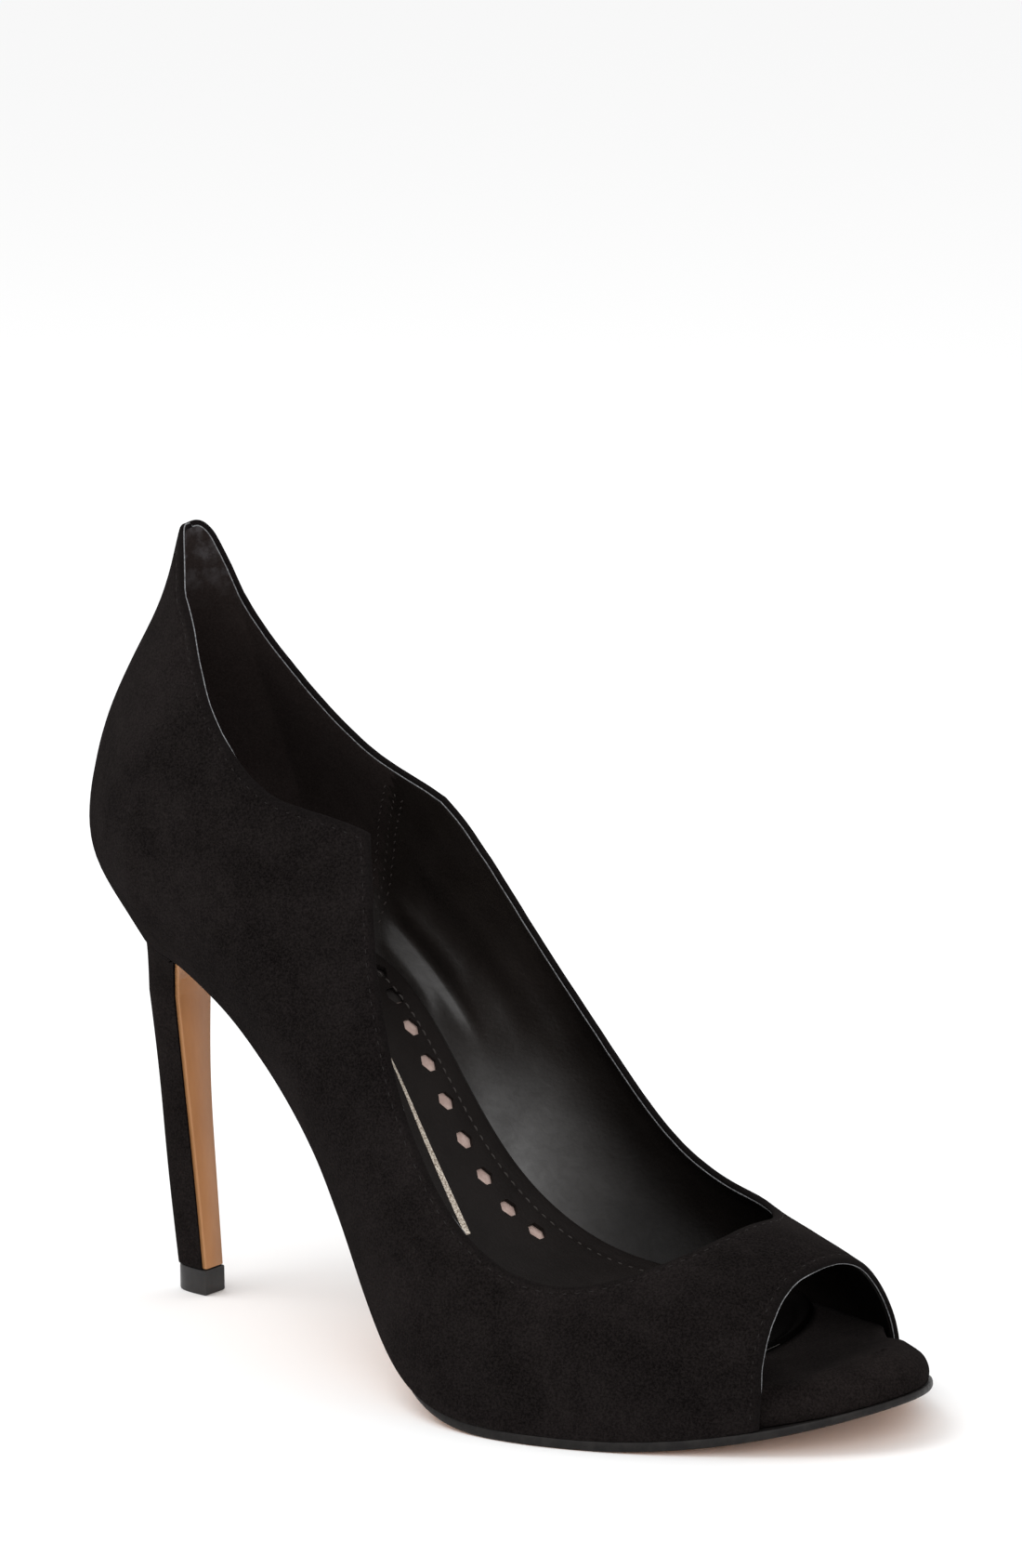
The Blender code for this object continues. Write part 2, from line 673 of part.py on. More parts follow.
def stem_ring(z, grow=0.0):
    """A ring round the stem: over the flat breast, then round the back. Levels stay level."""
    front, back, half = stem_row(z)
    back, half = back - grow, half + grow
    turn = np.linspace(-math.pi / 2, math.pi / 2, ROUND_POINTS + 1)
    full = 0.8
    x = front - (front - back) * np.cos(turn) ** full
    y = half * np.sign(np.sin(turn)) * np.abs(np.sin(turn)) ** full
    across = np.linspace(half, -half, FRONT_POINTS + 1)[1:-1]
    x = np.r_[x, np.full(len(across), front)]
    y = np.r_[y, across]
    return np.stack([x, y, np.full_like(x, z)], -1)


def seat_ring(front_x):
    """A ring under the back of the upper, open to the breast."""
    s_outer = SIDES["outer"].s_at_x(front_x)
    s_inner = SIDES["inner"].s_at_x(front_x)
    outer = outline_offset("outer", np.linspace(s_outer, 0, ROUND_POINTS // 2 + 1), -0.4)
    inner = outline_offset("inner", np.linspace(0, s_inner, ROUND_POINTS // 2 + 1), -0.4)
    round_back = np.vstack([outer[:-1], inner])
    round_back[ROUND_POINTS // 2] = (SIDES["outer"].points[0, 0] + 0.4, 0.0)
    across = np.linspace(round_back[-1], round_back[0], FRONT_POINTS + 1)[1:-1]
    ring = np.vstack([round_back, across])
    height = outline_z(ring[:, 0]) - FIT_GAP
    # The back of the upper is drawn in at its foot, and so is the seat
    behind = np.minimum(ring[:, 0] - HEEL_AXIS_X, 0.0)
    ring[:, 0] += behind * (back_curve(0.0) - 1)
    return np.c_[ring, height]


def heel_rings():
    """The heel's rings from its tip to the seat."""
    rings = [stem_ring(z) for z in HEEL_RINGS]
    neck = rings[-1]
    seat = seat_ring(HEEL_SEAT_FRONT_X)
    for t in np.linspace(0, 1, HEEL_FLARE_RINGS + 1)[1:]:
        spread = 0.25 * t + 0.75 * t**3
        ring = neck + (seat - neck) * spread
        ring[:, 2] = neck[:, 2] + (seat[:, 2] - neck[:, 2]) * (1 - (1 - t) ** 1.5)
        rings.append(ring)
    return rings


def breast_direction(rings, i):
    """The way that the breast faces at ring i, seen from the side."""
    middle = ROUND_POINTS + FRONT_POINTS // 2
    low = rings[max(i - 1, 0)][middle]
    high = rings[min(i + 1, len(rings) - 1)][middle]
    run_x, run_z = high[0] - low[0], high[2] - low[2]
    return np.array([run_z, 0.0, -run_x]) / math.hypot(run_x, run_z)


def make_heel():
    """The suede-covered heel and, on its flat breast, the tan flap."""
    rings = heel_rings()
    room = FLAP_THICKNESS + FIT_GAP
    front = list(range(ROUND_POINTS, ROUND_POINTS + FRONT_POINTS)) + [0]
    body = []
    for i, ring in enumerate(rings):
        ring = ring.copy()
        if i < len(rings) - 1:
            away = breast_direction(rings[:-1], i) * room
        else:
            away = np.array([room + 0.6, 0.0, 0.0])
        for k in front:
            ring[k] = ring[k] - away
        body.append(ring)
    per_ring = ROUND_POINTS + FRONT_POINTS
    points = np.vstack(body)
    faces = []
    for i in range(len(body) - 1):
        for k in range(per_ring):
            a, b = i * per_ring + k, i * per_ring + (k + 1) % per_ring
            faces.append((a, b, b + per_ring, a + per_ring))
    faces.append([k for k in range(per_ring)])
    last = (len(body) - 1) * per_ring
    half = ROUND_POINTS // 2
    # The seat slopes and curves, so it is closed in bands from side to side
    left = [last + k for k in range(half + 1)]
    right = [last + ROUND_POINTS - k for k in range(half + 1)]
    faces += strip_faces(left[1:], right[1:])
    front_edge = [last + ROUND_POINTS + k for k in range(FRONT_POINTS)]
    faces.append(front_edge + [last, left[1], right[1]])
    heel = add_part("heel", new_mesh("heel", points, faces), (0.012, 0.011, 0.012), 0.95)
    walls = ([], [])
    for i, ring in enumerate(rings[:-1]):
        away = breast_direction(rings[:-1], i)
        for wall, k, sign in ((walls[0], 0, 1), (walls[1], ROUND_POINTS, -1)):
            edge = ring[k] + np.array([0.0, FLAP_INSET * sign, 0.0])
            wall.append([edge - away * FLAP_THICKNESS, edge])
    mesh = ladder("heel_breast", np.array(walls[0]), np.array(walls[1]))
    flap = add_part("heel_breast", mesh, (0.42, 0.22, 0.08), 0.5)
    return heel, flap


def make_top_piece():
    """The tip that the heel stands on, flat on the floor."""
    ring = stem_ring(HEEL_STEM[0][1], -TOP_PIECE_INSET)
    low, high = ring.copy(), ring.copy()
    low[:, 2] = 0.0
    high[:, 2] = TOP_PIECE_HEIGHT
    count = len(ring)
    faces = [(k, (k + 1) % count, count + (k + 1) % count, count + k) for k in range(count)]
    faces += [list(range(count)), [count + k for k in range(count)]]
    mesh = new_mesh("top_piece", np.vstack([low, high]), faces)
    return add_part("top_piece", mesh, (0.012, 0.012, 0.013), 0.25)


for old in list(bpy.data.objects):
    bpy.data.objects.remove(old, do_unlink=True)
PARTS = bpy.data.collections.new("peep_toe_pump")
CUTTERS = bpy.data.collections.new("peep_toe_pump_cutters")
for group in (PARTS, CUTTERS):
    bpy.context.scene.collection.children.link(group)

make_upper()
make_outsole()
make_platform()
make_board()
make_sock()
make_heel()
make_top_piece()
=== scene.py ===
"""The looks of a peep toe pump, right foot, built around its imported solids.

The last, the collar and the pieces' outlines come first, in millimetres, as in the part's own
source, so that each dressed piece lies on its solid. The looks follow: suede, linings, stitches,
cut edges, the sock lining's cut-outs and stripe, the heel and the sole.
"""

import math
import random

import bmesh
import bpy
import numpy as np
from mathutils import Matrix, Vector, noise


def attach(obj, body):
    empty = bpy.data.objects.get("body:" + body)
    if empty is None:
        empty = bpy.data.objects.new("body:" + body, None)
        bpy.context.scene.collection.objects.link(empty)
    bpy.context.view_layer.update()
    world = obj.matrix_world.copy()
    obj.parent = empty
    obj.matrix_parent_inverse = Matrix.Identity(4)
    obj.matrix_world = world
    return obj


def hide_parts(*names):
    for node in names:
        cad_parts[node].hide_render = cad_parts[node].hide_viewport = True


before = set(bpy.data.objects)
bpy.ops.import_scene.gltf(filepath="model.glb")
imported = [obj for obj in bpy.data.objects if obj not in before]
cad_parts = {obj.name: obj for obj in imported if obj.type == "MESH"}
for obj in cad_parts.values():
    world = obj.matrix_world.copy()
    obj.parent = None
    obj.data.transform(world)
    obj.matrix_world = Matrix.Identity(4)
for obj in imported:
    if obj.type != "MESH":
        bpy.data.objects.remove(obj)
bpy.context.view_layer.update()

MM = 0.001

# Driving dimensions
UPPER_WALL = 1.6
FIT_GAP = 0.35
WALL_GAP = 0.55
BOARD_THICKNESS = 1.4
SOCK_THICKNESS = 1.2
PLATFORM_HEIGHT = 9.5
FLAP_THICKNESS = 1.2
FLAP_INSET = 0.7

# The outline that the upper meets the sole on, seen from above: x and y
FEATHER = (
    ("heel back", -13.4, 0.0),
    ("heel outer", 8.0, -20.5),
    ("waist outer", 57.0, -26.5),
    ("joint outer", 99.5, -46.6),
    ("toe outer", 168.0, -29.0),
    ("toe tip", 195.5, 4.0),
    ("toe inner", 180.0, 28.0),
    ("joint inner", 136.0, 42.0),
    ("waist inner", 75.0, 21.0),
    ("heel inner", 8.0, 20.5),
)

# The last's bottom seen from the side: x and height
BOTTOM_LINE = (
    ("heel back", -14.0, 86.0),
    ("heel centre", 6.0, 83.0),
    ("heel breast", 28.0, 74.0),
    ("waist", 54.0, 49.8),
    ("shank", 76.0, 24.6),
    ("shank foot", 94.0, 9.2),
    ("tread back", 112.0, 2.9),
    ("tread", 128.0, 2.1),
    ("tread front", 150.0, 2.3),
    ("toe", 176.0, 5.8),
    ("toe tip", 198.0, 11.9),
)

# How far the outline stands above the last's bottom, where the heel's seat is cupped
OUTLINE_RISE = (
    (-14.0, 0.2),
    (4.0, 1.1),
    (15.0, 2.5),
    (24.0, 2.6),
    (31.0, 2.5),
    (42.0, 1.8),
    (54.0, 0.9),
    (70.0, 0.0),
    (90.0, 0.0),
    (200.0, 0.0),
)
RISE_FADE = 30.0

# The last's cross-sections at each x. Half-widths are from the middle line, each followed by
# its height above the last's bottom: the widest place and the shoulder on the outer and the
# inner side, and the height at which the section would close over the foot
SECTIONS = (
    # name, x, widest outer, widest inner, shoulder outer, shoulder inner, closed top
    ("heel", 8.0, 30.5, 19.0, 30.5, 19.0, 17.0, 62.0, 17.0, 62.0, 108.0),
    ("waist", 40.0, 31.5, 18.0, 32.0, 18.0, 22.0, 62.0, 22.5, 62.0, 110.0),
    ("instep", 70.0, 36.0, 18.0, 33.5, 36.0, 26.0, 62.0, 29.5, 66.0, 106.0),
    ("joint outer", 104.0, 47.4, 14.0, 42.8, 22.0, 37.5, 44.0, 40.0, 44.0, 66.0),
    ("joint inner", 132.0, 45.8, 12.0, 46.0, 13.0, 37.0, 28.0, 41.3, 28.0, 41.0),
    ("vamp", 155.0, 38.4, 10.0, 38.8, 10.0, 29.2, 27.0, 28.9, 26.5, 38.5),
    ("toe", 178.0, 25.5, 8.0, 28.0, 8.0, 15.5, 23.5, 15.8, 22.8, 29.5),
)
HEEL_AXIS_X = 8.0
# How much fuller the back is than the heel's sides: height above the outline, and the factor
BACK_CURVE = (
    (0.0, 0.88),
    (6.0, 0.89),
    (14.0, 0.95),
    (28.0, 1.0),
    (38.0, 1.06),
    (47.0, 1.15),
    (56.0, 1.2),
    (64.0, 1.17),
    (72.0, 1.07),
    (81.0, 0.98),
    (92.0, 1.0),
    (110.0, 1.0),
)

# The middle line that the half-widths are measured from: x and y
MIDDLE = ((8.0, 0.0), (70.0, 0.0), (132.0, 1.0), (178.0, 2.5))

# The collar on each side, from the back seam round its corner to the throat: length along the
# outline, and how far round the section, from 0 at the sole to 100 at the closed top
COLLAR = {
    "outer": (
        ((0, 84.6), (12, 84.2), (20, 82.2), (28, 78), (35, 71), (43, 60.5), (52, 54.7), (62, 53.8),
         (76, 61.3), (91, 73.3)),
        ((91, 73.3), (95, 66), (99.5, 58.7), (105.6, 54), (112.4, 50.5), (122, 48.6), (130, 46.8),
         (138, 45.1), (146, 43.9), (154, 44.5), (162, 48.2), (170.5, 56), (178, 67.4), (183.5, 83)),
    ),
    "inner": (
        ((0, 84.6), (12, 85.2), (20, 83.2), (28, 77), (35, 66.7), (41, 60.3), (48, 55), (57, 52.3),
         (66, 54), (78.5, 59.2)),
        ((78.5, 59.2), (84, 59.2), (91, 57), (98, 55.2), (106, 54), (114, 52.8), (121, 50.2),
         (128, 46.8), (136, 44.4), (144, 43.5), (152, 45), (160.5, 50.3), (168, 59), (175, 72),
         (181, 87)),
    ),
}
THROAT_X = 154.0

# The edge of the toe opening, from the sole to the middle: x, and how far round the section
TOE_OPENING = {
    "outer": (
        (174.9, 0), (175.3, 22), (174.4, 39), (173.7, 53), (173.2, 66), (173.5, 78), (174.4, 87),
        (175.1, 95),
    ),
    "inner": (
        (171.3, 0), (170.3, 15), (169.8, 27), (170.0, 38), (171.0, 50), (172.9, 64), (174.6, 78),
        (175.2, 87), (175.4, 95),
    ),
}
TOE_OPENING_TOP_X = 175.4

# How the wall's columns are shared out: the back of the collar, its front, and the vamp
COLLAR_BACK_COLUMNS = 60
COLLAR_FRONT_COLUMNS = 108
VAMP_COLUMNS = 30
WALL_ROWS = 44
# The outline's lengths that stand below the collar's corner and below the throat
FOOT_OF_CORNER = {"outer": 86.0, "inner": 80.0}
FOOT_OF_THROAT = {"outer": 193.0, "inner": 189.0}

# The height of the platform's top above the last's bottom, by x
PLATFORM_TOP = (
    (-20.0, 0.0),
    (0.0, 0.0),
    (10.0, 0.2),
    (20.0, 2.2),
    (30.0, 5.8),
    (42.0, 8.8),
    (52.0, 9.3),
    (70.0, 8.0),
    (85.0, 8.2),
    (104.0, 9.3),
    (150.0, 9.5),
    (170.0, 8.7),
    (186.0, 7.7),
    (200.0, 7.6),
)
# The platform's rounded front edge: share of its height, and how far it draws in
PLATFORM_ROUND = ((0.0, 0.2), (0.25, 0.0), (0.5, 0.5), (0.7, 1.6), (0.86, 3.3), (0.96, 5.4), (1.0, 7.6))
PLATFORM_BACK_X = 26.0
PLATFORM_INSET = 0.6
# Ahead of the toe opening's foot, the platform turns from the wall's inside to the outline.
# Its rounding begins a little behind
PLATFORM_TURN = 12.0
PLATFORM_ROUND_START = 4.0
INSOLE_BACK_X = -13.5
BOARD_FRONT_X = 134.0
SOCK_FRONT_X = 158.0
SOCK_FRONT_ROUND = 22.0

# How far the outsole's edge stands out from the outline, by x
OUTSOLE_EDGE = (
    (21.0, -1.2),
    (60.0, -1.6),
    (86.0, -1.9),
    (106.0, -0.6),
    (130.0, 0.3),
    (150.0, 0.6),
    (200.0, 0.2),
)
OUTSOLE_BACK_X = 22.5
# The outsole's thickness, by x
OUTSOLE_THICKNESS = ((20.0, 1.3), (70.0, 1.6), (108.0, 2.0), (160.0, 2.0), (184.0, 1.7), (200.0, 1.3))
# Where the stations begin to close up, round the toe and round the heel
TOE_TURN_X = 185.0
HEEL_TURN_X = 14.0

# The hexagonal cut-outs in the sock lining
CUTOUT_COUNT = 9

# The heel's stem: height, the x of its breast and of its back, and its half-width
HEEL_STEM = (
    ("tip", 6.35, 5.0, -5.1, 3.6),
    ("low", 30.0, 3.1, -7.8, 4.05),
    ("middle", 50.0, 1.5, -9.4, 4.75),
    ("neck", 72.0, 0.6, -11.6, 6.4),
)
HEEL_RINGS = tuple(np.linspace(6.35, 70.0, 20))
HEEL_FLARE_RINGS = 26
ROUND_POINTS = 64
FRONT_POINTS = 12
HEEL_SEAT_FRONT_X = 14.0
TOP_PIECE_INSET = 0.3


def spline(xs, ys, closed=False):
    """The cubic spline through the points, as a function. A closed one ends where it starts."""
    xs = np.asarray(xs, float)
    ys = np.asarray(ys, float)
    gaps = np.diff(xs)
    slopes = (np.diff(ys, axis=0).T / gaps).T
    count = len(xs)
    matrix = np.zeros((count, count))
    right = np.zeros_like(ys)
    for i in range(1, count - 1):
        matrix[i, i - 1 : i + 2] = gaps[i - 1], 2 * (gaps[i - 1] + gaps[i]), gaps[i]
        right[i] = 6 * (slopes[i] - slopes[i - 1])
    if closed:
        matrix[0, 0], matrix[0, 1], matrix[0, -2] = 2 * (gaps[-1] + gaps[0]), gaps[0], gaps[-1]
        right[0] = 6 * (slopes[0] - slopes[-1])
        matrix[-1, 0], matrix[-1, -1] = 1, -1
    else:
        matrix[0, 0] = matrix[-1, -1] = 1
    bends = np.linalg.solve(matrix, right)

    def value(x):
        x = np.asarray(x, float)
        i = np.clip(np.searchsorted(xs, x, side="right") - 1, 0, count - 2)
        wide = x.shape + (1,) * (ys.ndim - 1)
        before, after, gap = (v.reshape(wide) for v in (xs[i + 1] - x, x - xs[i], gaps[i]))
        return (
            bends[i] * before**3 / (6 * gap)
            + bends[i + 1] * after**3 / (6 * gap)
            + (ys[i] / gap - bends[i] * gap / 6) * before
            + (ys[i + 1] / gap - bends[i + 1] * gap / 6) * after
        )

    return value


def path(points, closed=False):
    """The spline through points in the plane, by length, and the length at each point."""
    points = np.asarray(points, float)
    if closed:
        points = np.vstack([points, points[:1]])
    along = np.r_[0, np.cumsum(np.linalg.norm(np.diff(points, axis=0), axis=1))]
    return spline(along, points, closed), along


class Side:
    """One side of the feather line, by its length from the back seam to the toe tip."""

    def __init__(self, outline, heel_at, toe_at, sign):
        at = np.linspace(heel_at, toe_at, 1200)
        self.points = outline(np.mod(at, outline.total))
        steps = np.linalg.norm(np.diff(self.points, axis=0), axis=1)
        self.lengths = np.r_[0, np.cumsum(steps)]
        self.length = self.lengths[-1]
        self.sign = sign

    def at(self, s):
        return np.stack([np.interp(s, self.lengths, self.points[:, k]) for k in (0, 1)], -1)

    def s_at_x(self, x):
        return np.interp(x, self.points[:, 0], self.lengths)


def make_sides():
    outline, along = path([(x, y) for _, x, y in FEATHER], closed=True)
    total = along[-1]
    outline.total = total
    at = np.linspace(0, total, 4001)
    x = outline(at)[:, 0]
    heel = at[np.argmin(np.where((at < total / 4) | (at > total * 3 / 4), x, 999))]
    toe = at[np.argmax(x)]
    if heel > total / 2:
        heel -= total
    return {"outer": Side(outline, heel, toe, -1), "inner": Side(outline, heel + total, toe, 1)}


SIDES = make_sides()
bottom_z = spline(*zip(*[(x, z) for _, x, z in BOTTOM_LINE]))
outline_rise = spline(*zip(*OUTLINE_RISE))
middle_y = spline(*zip(*MIDDLE))
back_curve = spline(*zip(*BACK_CURVE))
section_row = spline([row[1] for row in SECTIONS], [row[2:] for row in SECTIONS])


def outline_z(x):
    """The height of the outline, which is the outsole's and the heel seat's top."""
    return bottom_z(x) + np.maximum(outline_rise(x), 0.0)


def section_points(x):
    """The seven points that a section is drawn through: y from the middle line, and height."""
    row = np.moveaxis(section_row(x), -1, 0)
    wide_o, wide_o_z, wide_i, wide_i_z, top_o, top_o_z, top_i, top_i_z, top = row
    outer = SIDES["outer"].at(SIDES["outer"].s_at_x(x))[..., 1] - middle_y(x)
    inner = SIDES["inner"].at(SIDES["inner"].s_at_x(x))[..., 1] - middle_y(x)
    none = np.zeros_like(outer)
    across = (outer, -wide_o, -top_o, none, top_i, wide_i, inner)
    height = (none, wide_o_z, top_o_z, top, top_i_z, wide_i_z, none)
    return np.stack(across, -1), np.stack(height, -1)


def section_table():
    """Every section as y and height, by x and by share: 0 outer sole, 100 top, 200 inner sole."""
    rows = []
    for x in SECTION_XS:
        across, height = section_points(x)
        points = np.stack([across, height], -1)
        knots = np.r_[0, np.cumsum(np.linalg.norm(np.diff(points, axis=0), axis=1))]
        fine = np.linspace(0, knots[-1], 1201)
        curve = spline(knots, points)(fine)
        along = np.r_[0, np.cumsum(np.linalg.norm(np.diff(curve, axis=0), axis=1))]
        top = np.interp(knots[3], fine, along)
        share = np.where(along < top, along / top, 1 + (along - top) / (along[-1] - top)) * 100
        rows.append([np.interp(SECTION_SHARES, share, curve[:, k]) for k in (0, 1)])
    return np.array(rows)


SECTION_XS = np.linspace(HEEL_AXIS_X, 190.0, 729)
SECTION_SHARES = np.linspace(0, 200, 801)
SECTION_TABLE = section_table()


def section_at(x, share):
    """The section at x, as y from the middle line and height above the last's bottom."""
    i = (x - SECTION_XS[0]) / (SECTION_XS[1] - SECTION_XS[0])
    j = share / (SECTION_SHARES[1] - SECTION_SHARES[0])
    i0 = np.clip(i.astype(int), 0, len(SECTION_XS) - 2)
    j0 = np.clip(j.astype(int), 0, len(SECTION_SHARES) - 2)
    i, j = i - i0, j - j0
    out = []
    for k in (0, 1):
        table = SECTION_TABLE[:, k]
        low = table[i0, j0] * (1 - j) + table[i0, j0 + 1] * j
        high = table[i0 + 1, j0] * (1 - j) + table[i0 + 1, j0 + 1] * j
        out.append(low * (1 - i) + high * i)
    return out


def last_point(side, s, share):
    """A point of the upper's outside: s along the outline, share from the sole to the top."""
    s, share = np.broadcast_arrays(np.asarray(s, float), np.asarray(share, float))
    foot = SIDES[side].at(s)
    centre_x = np.clip(foot[..., 0], SECTION_XS[0], SECTION_XS[-1])
    centre_y = middle_y(centre_x)
    around = share if side == "outer" else 200 - share
    y, z = section_at(centre_x, around)
    sole_y, _ = section_at(centre_x, np.full_like(share, 0.0 if side == "outer" else 200.0))
    # Behind the heel's axis, the sections fan out with the outline
    wide = y / sole_y
    fan_x = centre_x + (foot[..., 0] - centre_x) * wide * back_curve(np.clip(z, 0, 110))
    fan_y = centre_y + (foot[..., 1] - centre_y) * wide
    low = outline_z(foot[..., 0]) - bottom_z(foot[..., 0])
    height = z + low * np.clip(1 - z / RISE_FADE, 0, 1)
    return np.stack([fan_x, fan_y, bottom_z(foot[..., 0]) + height], -1)


def last_normal(side, s, share):
    """The outward direction of the upper's outside."""
    s, share = np.broadcast_arrays(np.asarray(s, float), np.asarray(share, float))
    before = np.maximum(s - 0.6, 0.0)
    along = last_point(side, s + 0.6, share) - last_point(side, before, share)
    low = np.clip(share - 0.7, 0, 200)
    up = last_point(side, s, low + 1.4) - last_point(side, s, low)
    normal = np.cross(along, up) * (1 if side == "outer" else -1)
    # The two sides share one direction on the back seam
    normal[..., 1] = np.where(s < 0.01, 0.0, normal[..., 1])
    return normal / np.linalg.norm(normal, axis=-1, keepdims=True)


def inside_point(side, s, height, depth):
    """The point this far in from the upper's outside, at this height above the last's bottom."""
    s, height = np.broadcast_arrays(np.asarray(s, float), np.asarray(height, float))
    share = np.linspace(0, 60, 121)
    points = last_point(side, s[:, None], share) - depth * last_normal(side, s[:, None], share)
    target = bottom_z(SIDES[side].at(s)[:, 0]) + height
    out = np.empty((len(s), 3))
    for i in range(len(s)):
        for k in (0, 1):
            out[i, k] = np.interp(target[i], points[i, :, 2], points[i, :, k])
    out[:, 2] = target
    return out


def run(rows, count, end=None):
    """Evenly spaced points of the curve through rows of length and share."""
    rows = [row for row in rows] + ([end] if end else [])
    curve, along = path(rows)
    return curve(np.linspace(0, along[-1], count))


def wall_grid(side):
    """The upper's side as lengths and shares: columns from heel to toe, rows from sole to edge."""
    line = SIDES[side]
    back_rows, front_rows = COLLAR[side]
    back = run(back_rows, COLLAR_BACK_COLUMNS + 1)
    front = run(front_rows, COLLAR_FRONT_COLUMNS + 1, (line.s_at_x(THROAT_X), 100.0))
    vamp_s = line.s_at_x(np.linspace(THROAT_X, TOE_OPENING_TOP_X, VAMP_COLUMNS + 1))
    vamp = np.stack([vamp_s, np.full_like(vamp_s, 100.0)], -1)
    top = np.vstack([back, front[1:], vamp[1:]])
    sole_end = line.s_at_x(TOE_OPENING[side][0][0])
    stops = (0.0, FOOT_OF_CORNER[side], FOOT_OF_THROAT[side], sole_end)
    counts = (COLLAR_BACK_COLUMNS, COLLAR_FRONT_COLUMNS, VAMP_COLUMNS)
    foot_s = np.concatenate(
        [np.linspace(stops[i], stops[i + 1], counts[i] + 1)[(1 if i else 0):] for i in range(3)]
    )
    foot = np.stack([foot_s, np.zeros_like(foot_s)], -1)
    up = np.linspace(0, 1, WALL_ROWS + 1)[None, :, None] ** 1.3
    grid = foot[:, None] * (1 - up) + top[:, None] * up
    # The last columns bend towards the edge of the toe opening
    opening = [(line.s_at_x(x), share) for x, share in TOE_OPENING[side]]
    edge = run(opening, WALL_ROWS + 1, (line.s_at_x(TOE_OPENING_TOP_X), 100.0))
    bend = np.zeros(len(foot_s))
    bend[-VAMP_COLUMNS - 1 :] = np.linspace(0, 1, VAMP_COLUMNS + 1) ** 1.5
    return grid + bend[:, None, None] * (edge - grid[-1])[None]


def new_mesh(name, points, faces):
    """A closed mesh of points in millimetres, with its faces turned outwards."""
    mesh = bpy.data.meshes.new(name)
    mesh.from_pydata([tuple(p) for p in np.asarray(points) * MM], [], faces)
    work = bmesh.new()
    work.from_mesh(mesh)
    bmesh.ops.remove_doubles(work, verts=work.verts, dist=0.01 * MM)
    bmesh.ops.recalc_face_normals(work, faces=work.faces)
    if work.calc_volume(signed=True) < 0:
        bmesh.ops.reverse_faces(work, faces=work.faces)
    work.to_mesh(mesh)
    work.free()
    return mesh


def grid_faces(first, columns, rows, flip=False):
    """Quads of a grid whose points are numbered from first, column by column."""
    faces = []
    for i in range(columns - 1):
        for j in range(rows - 1):
            a = first + i * rows + j
            quad = (a, a + rows, a + rows + 1, a + 1)
            faces.append(quad[::-1] if flip else quad)
    return faces


def loop_faces(levels, count):
    """Quads between levels of closed rings of count points each."""
    faces = []
    for i in range(levels - 1):
        for k in range(count):
            a, b = i * count + k, i * count + (k + 1) % count
            faces.append((a, b, b + count, a + count))
    return faces


def strip_faces(one, two):
    """Quads between two lists of point numbers."""
    quads = [(one[i], one[i + 1], two[i + 1], two[i]) for i in range(len(one) - 1)]
    return [tuple(dict.fromkeys(quad)) for quad in quads]


def ladder(name, left, right):
    """A solid between two side walls. Each is stations by levels, the levels from under to top."""
    stations, levels = left.shape[:2]
    points = list(left.reshape(-1, 3)) + list(right.reshape(-1, 3))
    other = stations * levels
    faces = grid_faces(0, stations, levels) + grid_faces(other, stations, levels, flip=True)
    under = [i * levels for i in range(stations)]
    top = [i * levels + levels - 1 for i in range(stations)]
    faces += strip_faces(under, [other + k for k in under])
    faces += strip_faces(top, [other + k for k in top])
    for i in (0, stations - 1):
        rung = [i * levels + k for k in range(levels)]
        faces += strip_faces(rung, [other + k for k in rung])
    return new_mesh(name, points, faces)


platform_top = spline(*zip(*PLATFORM_TOP))
outsole_edge = spline(*zip(*OUTSOLE_EDGE))
outsole_thickness = spline(*zip(*OUTSOLE_THICKNESS))


def stack_height(x):
    """The height of the platform's top above the last's bottom."""
    return np.clip(platform_top(x), 0.0, PLATFORM_HEIGHT)


def board_low(x):
    """The board rests in a recess of the platform and, behind it, on the heel's seat."""
    return np.maximum(stack_height(x) - BOARD_THICKNESS, outline_z(x) - bottom_z(x)) + FIT_GAP


def sock_low(x):
    return board_low(x) + BOARD_THICKNESS + FIT_GAP


def sock_high(x):
    return sock_low(x) + SOCK_THICKNESS


def outline_offset(side, s, out):
    """Points of the outline moved outwards by out."""
    line = SIDES[side]
    ahead = line.at(np.minimum(s + 0.5, line.length)) - line.at(np.maximum(s - 0.5, 0))
    ahead /= np.linalg.norm(ahead, axis=-1, keepdims=True)
    outward = np.stack([-ahead[:, 1], ahead[:, 0]], -1) * line.sign
    # On the tip of the toe both sides point straight ahead
    outward[s > line.length - 0.01] = (1.0, 0.0)
    return line.at(s) + outward * np.asarray(out)[..., None]


def toe_lengths(start_x, count):
    """Stations from start_x to the toe's tip at the same x on both sides, closer at the tip."""
    line = SIDES["outer"]
    s = np.linspace(line.s_at_x(start_x), line.s_at_x(TOE_TURN_X), count)
    tip = line.points[-1, 0]
    turn = np.linspace(0, math.pi / 2, 11)[1:-1]
    x = np.r_[line.at(s)[:, 0], TOE_TURN_X + (tip - TOE_TURN_X) * np.sin(turn), tip]
    return x, {side: np.where(x >= tip, SIDES[side].length, SIDES[side].s_at_x(x)) for side in SIDES}


stem_row = spline([row[1] for row in HEEL_STEM], [row[2:] for row in HEEL_STEM])


def stem_ring(z, grow=0.0):
    """A ring round the stem: over the flat breast, then round the back. Levels stay level."""
    front, back, half = stem_row(z)
    back, half = back - grow, half + grow
    turn = np.linspace(-math.pi / 2, math.pi / 2, ROUND_POINTS + 1)
    full = 0.8
    x = front - (front - back) * np.cos(turn) ** full
    y = half * np.sign(np.sin(turn)) * np.abs(np.sin(turn)) ** full
    across = np.linspace(half, -half, FRONT_POINTS + 1)[1:-1]
    x = np.r_[x, np.full(len(across), front)]
    y = np.r_[y, across]
    return np.stack([x, y, np.full_like(x, z)], -1)


